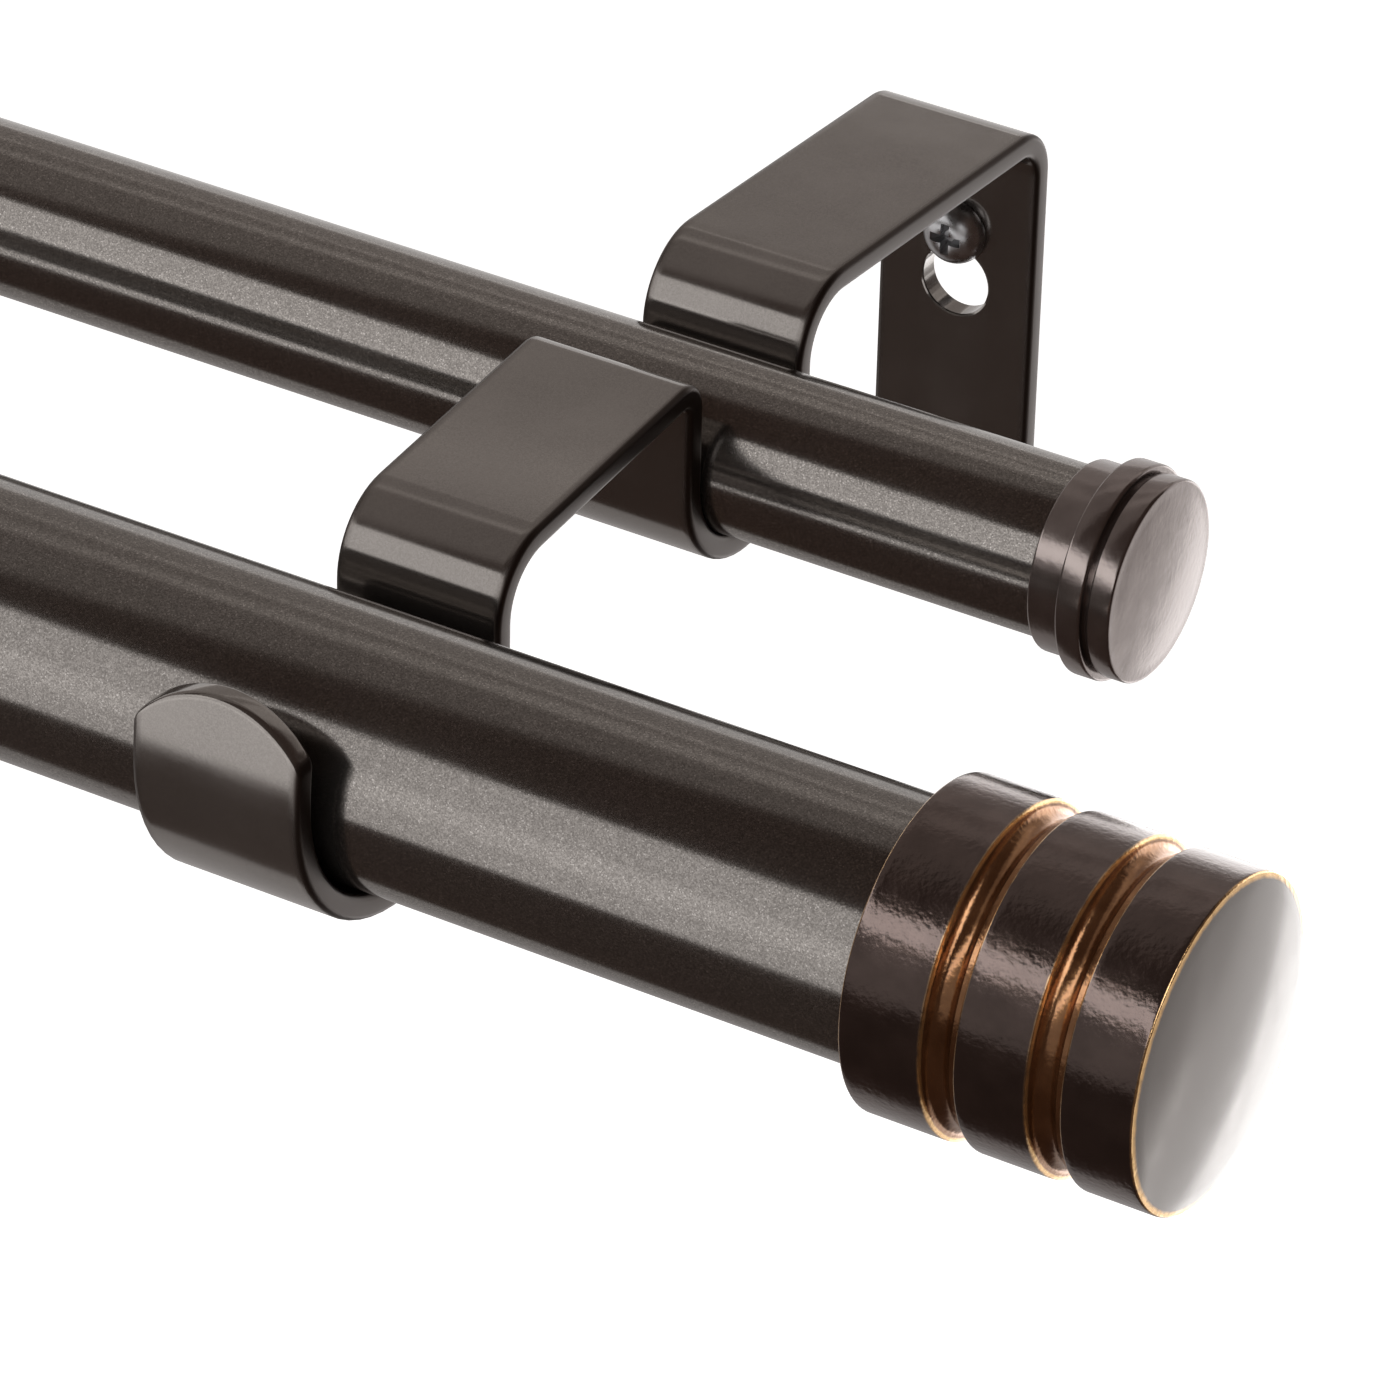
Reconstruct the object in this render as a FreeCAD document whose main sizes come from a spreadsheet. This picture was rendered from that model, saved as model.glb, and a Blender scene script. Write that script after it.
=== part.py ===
import FreeCAD, Part
import math
import os
import Sketcher

# Double curtain pole, 70 to 120 cm long, on two folded strip brackets.
# The wall is the plane Y = 0 and the poles lie in front of it, along X.
# The origin is the middle of the rectangle of the four wall screws.

# Driving sizes, in millimetres and degrees
SIZES = {
    # Tubes of both poles
    "front_tube_dia": 28.0,
    "back_tube_dia": 19.0,
    "tube_wall": 1.0,
    "slide_clearance": 0.5,
    "tube_edge": 0.3,
    # Lengths along the wall, with the poles closed
    "front_span": 700.0,
    "back_inset": 21.0,
    "bracket_inset": 70.5,
    "front_stub": 12.0,
    "back_stub": 10.0,
    "closing_room": 17.0,
    # Places of the two pole axes
    "front_reach": 132.0,
    "back_reach": 65.0,
    "front_height": 17.2,
    "back_height": 20.7,
    # Folded strip bracket
    "strip_width": 20.0,
    "strip_thickness": 2.8,
    "strip_edge": 0.6,
    "plate_foot": 10.0,
    "plate_corner": 3.0,
    "wall_bend": 6.5,
    "drop_bend": 9.0,
    "lip_bend": 3.8,
    "front_bend": 9.0,
    "upper_arm_rise": 13.8,
    "upper_arm_slope": 3.0,
    "lower_arm_rise": 14.3,
    "lower_arm_slope": 5.0,
    "back_cradle_play": 0.4,
    "front_cradle_play": 3.0,
    "tongue_rise": 13.5,
    "tongue_crown": 5.0,
    "trim": 1.0,
    "seat_gap": 0.05,
    # Wall screws and their holes
    "screw_pitch": 32.0,
    "screw_length": 20.0,
    "screw_neck_dia": 3.2,
    "screw_thread_dia": 4.0,
    "screw_point": 4.0,
    "screw_head_dia": 7.6,
    "screw_head_height": 2.6,
    "screw_head_side": 0.6,
    "recess_length": 4.2,
    "recess_width": 1.1,
    "recess_depth": 1.5,
    "shank_clearance": 0.2,
    "head_clearance": 0.4,
    "keyhole_drop": 6.6,
    # Finial of the front pole
    "finial_wall": 3.4,
    "first_land": 9.0,
    "middle_land": 8.0,
    "last_land": 7.8,
    "groove_width": 3.65,
    "groove_depth": 1.25,
    "shoulder_width": 0.7,
    "shoulder_depth": 0.7,
    "finial_edge": 0.25,
    "finial_dome": 1.6,
    "finial_socket": 14.0,
    "finial_stud_dia": 6.0,
    "finial_stud_length": 12.0,
    # End cap of the back pole
    "collar_wall": 0.9,
    "collar_length": 4.0,
    "band_rise": 1.3,
    "band_length": 2.9,
    "fine_groove": 0.5,
    "disc_rise": 0.6,
    "disc_length": 2.6,
    "cap_edge": 0.4,
    "cap_dome": 0.6,
    "cap_socket": 6.5,
    "cap_stud_dia": 5.0,
    "cap_stud_length": 5.0,
    # Fits of the end pieces
    "socket_clearance": 0.1,
    "plug_clearance": 0.05,
    "plug_flange": 1.5,
    "front_plug_length": 15.0,
    "back_plug_length": 12.0,
    "stud_clearance": 0.1,
    "glide_clearance": 0.3,
    "glide_flange": 3.0,
    "glide_length": 12.0,
    "glide_wall": 2.0,
}

doc = FreeCAD.newDocument("DoubleCurtainPole")
sheet = doc.addObject("Spreadsheet::Sheet", "Sizes")
for row, (alias, value) in enumerate(SIZES.items(), start=1):
    sheet.set(f"A{row}", alias.replace("_", " "))
    sheet.set(f"B{row}", str(value))
    sheet.setAlias(f"B{row}", alias)
doc.recompute()


def number(expression):
    """The present value of an expression on the sheet."""
    return float(sheet.evalExpression(str(expression)))


# Length of each pole between its end pieces, and places and radii that several pieces share
SPAN = {"front": "Sizes.front_span", "back": "(Sizes.front_span - 2 * Sizes.back_inset)"}
BRACKET_X = "(Sizes.front_span / 2 - Sizes.bracket_inset)"
STUD_HOLE = {"front": "(Sizes.finial_stud_dia / 2 + Sizes.stud_clearance)",
             "back": "(Sizes.cap_stud_dia / 2 + Sizes.stud_clearance)"}
SOCKET = {"front": "Sizes.finial_socket", "back": "Sizes.cap_socket"}


def outer_r(pole):
    return f"(Sizes.{pole}_tube_dia / 2)"


def outer_bore(pole):
    return f"({outer_r(pole)} - Sizes.tube_wall)"


def inner_r(pole):
    return f"({outer_bore(pole)} - Sizes.slide_clearance)"


def inner_bore(pole):
    return f"({inner_r(pole)} - Sizes.tube_wall)"


def socket_r(pole):
    return f"({outer_r(pole)} + Sizes.socket_clearance)"


def finial_r():
    """The finial's lands stand round its socket with a wall between them."""
    return f"({socket_r('front')} + Sizes.finial_wall)"


def entry(pole):
    """How far a tube reaches into the socket of its end piece."""
    return f"({SOCKET[pole]} - Sizes.plug_flange - 2 * Sizes.seat_gap)"


def inner_length(pole):
    """Length of the inner tube: closed, its glide stops short of the plug at the other end."""
    hidden_ends = f"Sizes.{pole}_plug_length - Sizes.glide_flange - Sizes.seat_gap - Sizes.closing_room"
    return f"({SPAN[pole]} + 2 * {entry(pole)} - {hidden_ends})"


def add_body(label, x="0", y="0", z="0", turn=0.0):
    """A body named after its piece, placed by the sheet, turned about Z if asked."""
    body = doc.addObject("PartDesign::Body", label)
    body.Label = label
    body.Placement.Rotation = FreeCAD.Rotation(FreeCAD.Vector(0, 0, 1), turn)
    for axis, place in zip("xyz", (x, y, z)):
        body.setExpression(f"Placement.Base.{axis}", place)
    return body


def origin_feature(body, role):
    return next(item for item in body.Origin.OriginFeatures if item.Role == role)


def add_sketch(body, name, role, offset=None):
    """An empty sketch on one of the body's own planes, moved along its normal."""
    sketch = body.newObject("Sketcher::SketchObject", name)
    sketch.AttachmentSupport = [(origin_feature(body, role), "")]
    sketch.MapMode = "FlatFace"
    if offset is not None:
        sketch.setExpression("AttachmentOffset.Base.z", offset)
    return sketch


def bind(sketch, kind, *where, size):
    """A dimension of the sketch, tied to an expression on the sheet."""
    index = sketch.addConstraint(Sketcher.Constraint(kind, *where, number(size)))
    sketch.setExpression(f"Constraints[{index}]", str(size))


def add_circle(sketch, x, y, radius):
    circle = Part.Circle(FreeCAD.Vector(number(x), number(y), 0), FreeCAD.Vector(0, 0, 1), number(radius))
    index = sketch.addGeometry(circle, False)
    bind(sketch, "DistanceX", -1, 1, index, 3, size=x)
    bind(sketch, "DistanceY", -1, 1, index, 3, size=y)
    bind(sketch, "Radius", index, size=radius)


def place_point(sketch, edge, point, corner):
    """Tie a point of the sketch to a corner's two coordinates."""
    bind(sketch, "DistanceX", -1, 1, edge, point, size=corner[0])
    bind(sketch, "DistanceY", -1, 1, edge, point, size=corner[1])


def arc_between(start, end, radius, side):
    """Arc from start to end that bulges to the right (side 1) or the left (side -1) of the way."""
    chord = end - start
    middle = (start + end) * 0.5
    rise = math.sqrt(max(radius ** 2 - (chord.Length / 2) ** 2, 0.0))
    left = FreeCAD.Vector(-chord.y, chord.x, 0).normalize()
    centre = middle + left * (rise * side)
    angles = [math.atan2(point.y - centre.y, point.x - centre.x) for point in (start, end)]
    if side < 0:
        angles.reverse()
    return Part.ArcOfCircle(Part.Circle(centre, FreeCAD.Vector(0, 0, 1), radius), *angles)


def outline(sketch, corners, closed=True):
    """Outline through corners (x, y) or (x, y, radius, side): a radius makes the next edge an arc."""
    points = [FreeCAD.Vector(number(corner[0]), number(corner[1]), 0) for corner in corners]
    starts = corners if closed else corners[:-1]
    ends = []
    for index, corner in enumerate(starts):
        start, end = points[index], points[(index + 1) % len(points)]
        if len(corner) == 2:
            edge = sketch.addGeometry(Part.LineSegment(start, end), False)
            ends.append((edge, 1, 2))
        else:
            radius, side = corner[2:]
            edge = sketch.addGeometry(arc_between(start, end, number(radius), side), False)
            ends.append((edge, 1, 2) if side > 0 else (edge, 2, 1))
            bind(sketch, "Radius", edge, size=radius)
    for index, corner in enumerate(starts):
        edge, first, _ = ends[index]
        previous, _, last = ends[index - 1]
        if closed or index > 0:
            sketch.addConstraint(Sketcher.Constraint("Coincident", previous, last, edge, first))
        place_point(sketch, edge, first, corner)
    if not closed:
        edge, _, last = ends[-1]
        place_point(sketch, edge, last, corners[-1])


def add_pad(body, name, sketch, length):
    pad = body.newObject("PartDesign::Pad", name)
    pad.Profile = sketch
    pad.setExpression("Length", length)
    return pad


def add_pocket(body, name, sketch, depth, both_ways=False):
    """A pocket along the sketch's normal, checked to have taken material away."""
    doc.recompute()
    before = body.Shape.Volume
    pocket = body.newObject("PartDesign::Pocket", name)
    pocket.Profile = sketch
    pocket.Midplane = both_ways
    pocket.setExpression("Length", depth)
    doc.recompute()
    if body.Shape.Volume >= before:
        raise RuntimeError(f"{body.Label}: {name} cut nothing")
    return pocket


def add_turning(body, name, sketch, axis):
    """A piece turned from the outline of its half section."""
    turning = body.newObject("PartDesign::Revolution", name)
    turning.Profile = sketch
    turning.ReferenceAxis = (sketch, [axis])
    turning.Angle = 360.0
    return turning


def tube(label, pole, start, length, radius, bore):
    """Plain round tube with its outer end edges broken."""
    body = add_body(label, start, f"-Sizes.{pole}_reach", f"Sizes.{pole}_height")
    section = add_sketch(body, f"{label}_section", "YZ_Plane")
    add_circle(section, "0", "0", radius)
    add_circle(section, "0", "0", bore)
    pad = add_pad(body, f"{label}_length", section, length)
    doc.recompute()
    rims = [f"Edge{place}" for place, edge in enumerate(pad.Shape.Edges, start=1)
            if edge.Curve.TypeId == "Part::GeomCircle" and math.isclose(edge.Curve.Radius, number(radius))]
    ease = body.newObject("PartDesign::Chamfer", f"{label}_ends")
    ease.Base = (pad, rims)
    ease.setExpression("Size", "Sizes.tube_edge")
    return body


def outer_tube(pole):
    """The thicker tube: it stops short of the left end piece and sits in the right one."""
    start = f"-{SPAN[pole]} / 2 + Sizes.{pole}_stub"
    length = f"{SPAN[pole]} - Sizes.{pole}_stub + {entry(pole)}"
    return tube(f"{pole}_outer_tube", pole, start, length, outer_r(pole), outer_bore(pole))


def inner_tube(pole):
    """The thinner tube: it sits in the left end piece and slides in the outer tube."""
    start = f"-{SPAN[pole]} / 2 - {entry(pole)}"
    return tube(f"{pole}_inner_tube", pole, start, inner_length(pole), inner_r(pole), inner_bore(pole))


def end_plug(label, pole, side, radius, bore):
    """Nylon plug in a tube's end: a flange on the rim and a bore for the stud."""
    place = f"{side} * ({SPAN[pole]} / 2 + {entry(pole)} + Sizes.seat_gap)"
    body = add_body(label, place, f"-Sizes.{pole}_reach", f"Sizes.{pole}_height", 0.0 if side > 0 else 180.0)
    half = add_sketch(body, f"{label}_half", "XY_Plane")
    stem = f"({bore} - Sizes.plug_clearance)"
    outline(half, [
        (f"-Sizes.{pole}_plug_length", STUD_HOLE[pole]),
        ("Sizes.plug_flange", STUD_HOLE[pole]),
        ("Sizes.plug_flange", radius),
        ("0", radius),
        ("0", stem),
        (f"-Sizes.{pole}_plug_length", stem),
    ])
    add_turning(body, f"{label}_turning", half, "H_Axis")
    return body


def glide(pole):
    """Nylon ring on the inner tube's hidden end: it centres that end in the outer tube."""
    label = f"{pole}_glide"
    place = f"-{SPAN[pole]} / 2 - {entry(pole)} + {inner_length(pole)} + Sizes.seat_gap"
    body = add_body(label, place, f"-Sizes.{pole}_reach", f"Sizes.{pole}_height")
    half = add_sketch(body, f"{label}_half", "XY_Plane")
    stem = f"({inner_bore(pole)} - Sizes.plug_clearance)"
    rim = f"({outer_bore(pole)} - Sizes.glide_clearance)"
    outline(half, [
        ("-Sizes.glide_length", f"{stem} - Sizes.glide_wall"),
        ("Sizes.glide_flange", f"{stem} - Sizes.glide_wall"),
        ("Sizes.glide_flange", rim),
        ("0", rim),
        ("0", stem),
        ("-Sizes.glide_length", stem),
    ])
    add_turning(body, f"{label}_turning", half, "H_Axis")
    return body


def dome_radius(height, radius):
    """Radius of the ball whose cap has this height over a face of this radius."""
    return f"(({radius}) ^ 2 + {height} ^ 2) / (2 * {height})"


def socket_corners(pole, stud_dia, stud_length):
    """Inside of an end piece, from its axis to its rim: the stud, then the socket for the tube."""
    return [
        (f"{SOCKET[pole]} - {stud_length}", "0"),
        (f"{SOCKET[pole]} - {stud_length}", f"{stud_dia} / 2"),
        (SOCKET[pole], f"{stud_dia} / 2"),
        (SOCKET[pole], socket_r(pole)),
        ("0", socket_r(pole)),
    ]


def groove_corners(start, radius):
    """Land edge, round groove and the small shoulder beside the next land."""
    ease = "Sizes.finial_edge"
    wall = f"{start} + Sizes.groove_width"
    across = "(Sizes.groove_width - Sizes.shoulder_width)"
    down = f"(Sizes.shoulder_depth - {ease})"
    round_r = dome_radius("Sizes.groove_depth", f"sqrt({across} ^ 2 + {down} ^ 2) / 2")
    return [
        (f"{start} - {ease}", radius),
        (start, f"{radius} - {ease}", round_r, 1),
        (f"{wall} - Sizes.shoulder_width", f"{radius} - Sizes.shoulder_depth"),
        (wall, f"{radius} - Sizes.shoulder_depth"),
        (wall, f"{radius} - {ease}"),
        (f"{wall} + {ease}", radius),
    ]


def finial(side_name, side):
    """Turned finial of the front pole: three lands, two round grooves and a domed face."""
    label = f"front_{side_name}_finial"
    body = add_body(label, f"{side} * {SPAN['front']} / 2", "-Sizes.front_reach", "Sizes.front_height",
                    0.0 if side > 0 else 180.0)
    half = add_sketch(body, f"{label}_half", "XY_Plane")
    first = "Sizes.first_land"
    second = f"({first} + Sizes.groove_width + Sizes.middle_land)"
    face = f"({second} + Sizes.groove_width + Sizes.last_land)"
    face_r = f"({finial_r()} - Sizes.finial_edge)"
    outline(half, socket_corners("front", "Sizes.finial_stud_dia", "Sizes.finial_stud_length") + [
        ("0", face_r),
        ("Sizes.finial_edge", finial_r()),
        *groove_corners(first, finial_r()),
        *groove_corners(second, finial_r()),
        (f"{face} - Sizes.finial_edge", finial_r()),
        (face, face_r, dome_radius("Sizes.finial_dome", face_r), -1),
        (f"{face} + Sizes.finial_dome", "0"),
    ])
    add_turning(body, f"{label}_turning", half, "H_Axis")
    return body


def end_cap(side_name, side):
    """Turned cap of the back pole: collar, wider band, fine groove and a nearly flat disc."""
    label = f"back_{side_name}_cap"
    body = add_body(label, f"{side} * {SPAN['back']} / 2", "-Sizes.back_reach", "Sizes.back_height",
                    0.0 if side > 0 else 180.0)
    half = add_sketch(body, f"{label}_half", "XY_Plane")
    edge = "Sizes.cap_edge"
    collar = f"({socket_r('back')} + Sizes.collar_wall)"
    band, disc = f"({collar} + Sizes.band_rise)", f"({collar} + Sizes.disc_rise)"
    band_start = "Sizes.collar_length"
    band_end = f"({band_start} + Sizes.band_length)"
    disc_start = f"({band_end} + Sizes.fine_groove)"
    face = f"({disc_start} + Sizes.disc_length)"
    floor = f"{disc} - Sizes.fine_groove"
    face_r = f"({disc} - {edge})"
    outline(half, socket_corners("back", "Sizes.cap_stud_dia", "Sizes.cap_stud_length") + [
        ("0", f"{collar} - {edge}"),
        (edge, collar),
        (band_start, collar),
        (band_start, f"{band} - {edge}"),
        (f"{band_start} + {edge}", band),
        (f"{band_end} - {edge}", band),
        (band_end, f"{band} - {edge}"),
        (band_end, floor),
        (disc_start, floor),
        (disc_start, f"{disc} - {edge} / 2"),
        (f"{disc_start} + {edge} / 2", disc),
        (f"{face} - {edge}", disc),
        (face, face_r, dome_radius("Sizes.cap_dome", face_r), -1),
        (f"{face} + Sizes.cap_dome", "0"),
    ])
    add_turning(body, f"{label}_turning", half, "H_Axis")
    return body


# Middle line of the bracket's strip, seen from the side: Y across the sketch and Z up
HALF = "(Sizes.strip_thickness / 2)"
UPPER_SCREW = "(Sizes.screw_pitch / 2)"
FOOT = "(-Sizes.screw_pitch / 2 - Sizes.plate_foot)"
TONGUE_TOP = "(Sizes.front_height + Sizes.tongue_rise)"


def cradle(pole):
    """Centre and radius of a cradle's half round, on the strip's middle line."""
    bore = f"({outer_r(pole)} + Sizes.{pole}_cradle_play)"
    centre_y = f"(-Sizes.{pole}_reach)"
    centre_z = f"(Sizes.{pole}_height + Sizes.{pole}_cradle_play - Sizes.seat_gap)"
    return centre_y, centre_z, f"({bore} + {HALF})"


def bend(y, z, way, slope, radius, into):
    """A corner of the path rounded to a radius, as the two ends of its arc.

    way is 1 if the sloped arm climbs away from the wall there and -1 if it falls,
    and into tells whether the path comes to the bend by the upright run or by the arm.
    """
    lean = f"({slope} / 2)" if (way > 0) == into else f"(-{slope} / 2)"
    setback = f"({radius} / tan(45 + {lean}))"
    upright = (y, f"({z} - {setback})")
    reach = "-" if into else "+"
    rise = "+" if (way > 0) == into else "-"
    arm = (f"({y} {reach} {setback} * cos({slope}))", f"({z} {rise} {setback} * sin({slope}))")
    first, last = (upright, arm) if into else (arm, upright)
    return [(*first, radius, 1), last]


def strip_path(body, label):
    """Path of the strip from the plate's foot to the tongue: seven runs joined by tangent bends."""
    back_y, back_z, back_r = cradle("back")
    front_y, front_z, front_r = cradle("front")
    plate, drop, lip = f"(-{HALF})", f"({back_y} + {back_r})", f"({back_y} - {back_r})"
    neck, tongue = f"({front_y} + {front_r})", f"({front_y} - {front_r})"
    upper = f"(Sizes.back_height + Sizes.upper_arm_rise - {HALF})"
    lower = f"(Sizes.front_height + Sizes.lower_arm_rise - {HALF})"
    climb, fall = "Sizes.upper_arm_slope", "Sizes.lower_arm_slope"
    wall_corner = f"({upper} - ({plate} - {drop}) * tan({climb}))"
    lip_corner = f"({lower} + ({lip} - {neck}) * tan({fall}))"
    path = add_sketch(body, f"{label}_path", "YZ_Plane")
    outline(path, [
        (plate, f"{FOOT} - Sizes.trim"),
        *bend(plate, wall_corner, 1, climb, f"(Sizes.wall_bend - {HALF})", into=True),
        *bend(drop, upper, 1, climb, f"(Sizes.drop_bend - {HALF})", into=False),
        (drop, back_z, back_r, -1),
        (back_y, f"{back_z} - {back_r}", back_r, -1),
        (lip, back_z),
        *bend(lip, lip_corner, -1, fall, f"(Sizes.lip_bend - {HALF})", into=True),
        *bend(neck, lower, -1, fall, f"(Sizes.front_bend - {HALF})", into=False),
        (neck, front_z, front_r, -1),
        (front_y, f"{front_z} - {front_r}", front_r, -1),
        (tongue, front_z),
        (tongue, f"{TONGUE_TOP} + Sizes.trim"),
    ], closed=False)
    return path


def strip_section(body, label):
    """Cross-section of the strip with its four long edges broken."""
    section = add_sketch(body, f"{label}_section", "XY_Plane", f"{FOOT} - Sizes.trim")
    across, edge = "Sizes.strip_width / 2", "Sizes.strip_edge"
    near, far = "-Sizes.strip_thickness", "0"
    outline(section, [
        (f"-{across} + {edge}", near),
        (f"{across} - {edge}", near),
        (across, f"{near} + {edge}"),
        (across, f"{far} - {edge}"),
        (f"{across} - {edge}", far),
        (f"-{across} + {edge}", far),
        (f"-{across}", f"{far} - {edge}"),
        (f"-{across}", f"{near} + {edge}"),
    ])
    return section


def trim_tongue(body, label):
    """Round the free end of the strip to an arch over its whole width."""
    _, _, radius = cradle("front")
    middle = f"Sizes.front_reach + {radius}"
    cut = add_sketch(body, f"{label}_arch", "XZ_Plane", middle)
    side = "Sizes.strip_width / 2"
    corner = f"({TONGUE_TOP} - Sizes.tongue_crown)"
    above = f"({TONGUE_TOP} + 2 * Sizes.trim)"
    arch = dome_radius("Sizes.tongue_crown", side)
    outline(cut, [
        (f"-{side}", corner, arch, -1),
        (side, corner),
        (f"{side} + Sizes.trim", corner),
        (f"{side} + Sizes.trim", above),
        (f"-{side} - Sizes.trim", above),
        (f"-{side} - Sizes.trim", corner),
    ])
    add_pocket(body, f"{label}_tongue_end", cut, "Sizes.strip_thickness + 2 * Sizes.trim", both_ways=True)


def trim_foot(body, label):
    """Square the plate's foot and round its two corners."""
    cut = add_sketch(body, f"{label}_foot", "XZ_Plane", HALF)
    side, corner = "Sizes.strip_width / 2", "Sizes.plate_corner"
    below = f"({FOOT} - 2 * Sizes.trim)"
    outline(cut, [
        (f"-{side} - Sizes.trim", below),
        (f"{side} + Sizes.trim", below),
        (f"{side} + Sizes.trim", f"{FOOT} + {corner}"),
        (side, f"{FOOT} + {corner}", corner, -1),
        (f"{side} - {corner}", FOOT),
        (f"-{side} + {corner}", FOOT, corner, -1),
        (f"-{side}", f"{FOOT} + {corner}"),
        (f"-{side} - Sizes.trim", f"{FOOT} + {corner}"),
    ])
    add_pocket(body, f"{label}_plate_end", cut, "Sizes.strip_thickness + 2 * Sizes.trim", both_ways=True)


def pierce_plate(body, label):
    """Keyhole for the upper screw and a round hole for the lower one."""
    shank_hole = "(Sizes.screw_thread_dia / 2 + Sizes.shank_clearance)"
    head_hole = "(Sizes.screw_head_dia / 2 + Sizes.head_clearance)"
    entry_z = f"({UPPER_SCREW} - Sizes.keyhole_drop)"
    depth = "Sizes.strip_thickness + 2 * Sizes.trim"
    for name, z, radius in (("keyhole_entry", entry_z, head_hole), ("keyhole_seat", UPPER_SCREW, shank_hole),
                            ("lower_hole", f"-{UPPER_SCREW}", shank_hole)):
        hole = add_sketch(body, f"{label}_{name}_round", "XZ_Plane", HALF)
        add_circle(hole, "0", z, radius)
        add_pocket(body, f"{label}_{name}", hole, depth, both_ways=True)
    slot = add_sketch(body, f"{label}_keyhole_sides", "XZ_Plane", HALF)
    outline(slot, [(f"-{shank_hole}", entry_z), (shank_hole, entry_z),
                   (shank_hole, UPPER_SCREW), (f"-{shank_hole}", UPPER_SCREW)])
    add_pocket(body, f"{label}_keyhole_slot", slot, depth, both_ways=True)


def bracket(side_name, side):
    """One folded steel strip: plate, upper arm, back cradle, lower arm, front cradle and tongue."""
    label = f"{side_name}_bracket"
    body = add_body(label, f"{side} * {BRACKET_X}")
    path = strip_path(body, label)
    section = strip_section(body, label)
    doc.recompute()
    strip = body.newObject("PartDesign::AdditivePipe", f"{label}_strip")
    strip.Profile = section
    strip.Spine = (path, [])
    strip.Mode = "Binormal"
    strip.Binormal = FreeCAD.Vector(1, 0, 0)
    doc.recompute()
    expected = Part.Face(section.Shape).Area * path.Shape.Length
    print(f"{label}: strip volume {body.Shape.Volume:.1f}, section times length {expected:.1f}")
    trim_tongue(body, label)
    trim_foot(body, label)
    pierce_plate(body, label)
    return body


def wall_screw(side_name, side, level_name, level):
    """Pan-head screw with a cross recess: its head lies on the plate and its shank goes into the wall."""
    label = f"{side_name}_{level_name}_screw"
    body = add_body(label, f"{side} * {BRACKET_X}", "-Sizes.strip_thickness - Sizes.seat_gap",
                    f"{level} * {UPPER_SCREW}")
    half = add_sketch(body, f"{label}_half", "XY_Plane")
    head_r, neck_r = "Sizes.screw_head_dia / 2", "Sizes.screw_neck_dia / 2"
    thread_r = "Sizes.screw_thread_dia / 2"
    neck_end = "(Sizes.strip_thickness + Sizes.seat_gap)"
    dome = "(Sizes.screw_head_height - Sizes.screw_head_side)"
    outline(half, [
        ("0", "-Sizes.screw_head_height", dome_radius(dome, head_r), 1),
        (head_r, "-Sizes.screw_head_side"),
        (head_r, "0"),
        (neck_r, "0"),
        (neck_r, neck_end),
        (thread_r, neck_end),
        (thread_r, "Sizes.screw_length - Sizes.screw_point"),
        ("0", "Sizes.screw_length"),
    ])
    add_turning(body, f"{label}_turning", half, "V_Axis")
    slot = add_sketch(body, f"{label}_recess", "XZ_Plane", "Sizes.screw_head_height")
    long, wide = "Sizes.recess_length / 2", "Sizes.recess_width / 2"
    outline(slot, [(f"-{long}", f"-{wide}"), (long, f"-{wide}"), (long, wide), (f"-{long}", wide)])
    pocket = add_pocket(body, f"{label}_slot", slot, "Sizes.recess_depth")
    cross = body.newObject("PartDesign::PolarPattern", f"{label}_cross")
    cross.Originals = [pocket]
    cross.Axis = (slot, ["N_Axis"])
    cross.Angle = 90.0
    cross.Occurrences = 2
    body.Tip = cross
    return body


def build():
    """Every piece of the double pole, in the order of fitting it."""
    pieces = []
    for side_name, side in (("right", 1), ("left", -1)):
        pieces.append(bracket(side_name, side))
        for level_name, level in (("upper", 1), ("lower", -1)):
            pieces.append(wall_screw(side_name, side, level_name, level))
    for pole in ("front", "back"):
        pieces.append(outer_tube(pole))
        pieces.append(inner_tube(pole))
        pieces.append(glide(pole))
        pieces.append(end_plug(f"{pole}_right_plug", pole, 1, outer_r(pole), outer_bore(pole)))
        pieces.append(end_plug(f"{pole}_left_plug", pole, -1, inner_r(pole), inner_bore(pole)))
    for side_name, side in (("right", 1), ("left", -1)):
        pieces.append(finial(side_name, side))
        pieces.append(end_cap(side_name, side))
    return pieces


def check(pieces):
    """Stop if any object failed or any piece is not one sound solid."""
    for item in doc.Objects:
        if "Invalid" in item.State or "Error" in item.State:
            raise RuntimeError(f"{item.Label} failed: {item.State}")
    for piece in pieces:
        shape = piece.Shape
        if shape.isNull() or not shape.isValid() or len(shape.Solids) != 1:
            raise RuntimeError(f"{piece.Label} is not one sound solid")


pieces = build()
doc.recompute()
check(pieces)
os.makedirs("parts", exist_ok=True)
for piece in pieces:
    piece.Shape.exportStep(f"parts/{piece.Label}.step")
    box = piece.Shape.BoundBox
    print(f"{piece.Label}: {piece.Shape.Volume:.1f} mm3, x {box.XMin:.1f} to {box.XMax:.1f}, "
          f"y {box.YMin:.1f} to {box.YMax:.1f}, z {box.ZMin:.1f} to {box.ZMax:.1f}")
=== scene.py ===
# %% [markdown]
# # A double curtain pole on folded strip brackets
#
# The object is a pair of telescopic curtain poles. A thick one with grooved finials hangs in
# front, a thin one with stepped caps hangs behind it, and two steel strips, folded to and fro,
# carry both. The CAD model gives the place and the size of every piece, so this lesson never
# moves a CAD piece. It builds finer copies over it, gives each one its finish, and lights them
# like a product photograph on white.

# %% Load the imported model
import math

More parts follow.
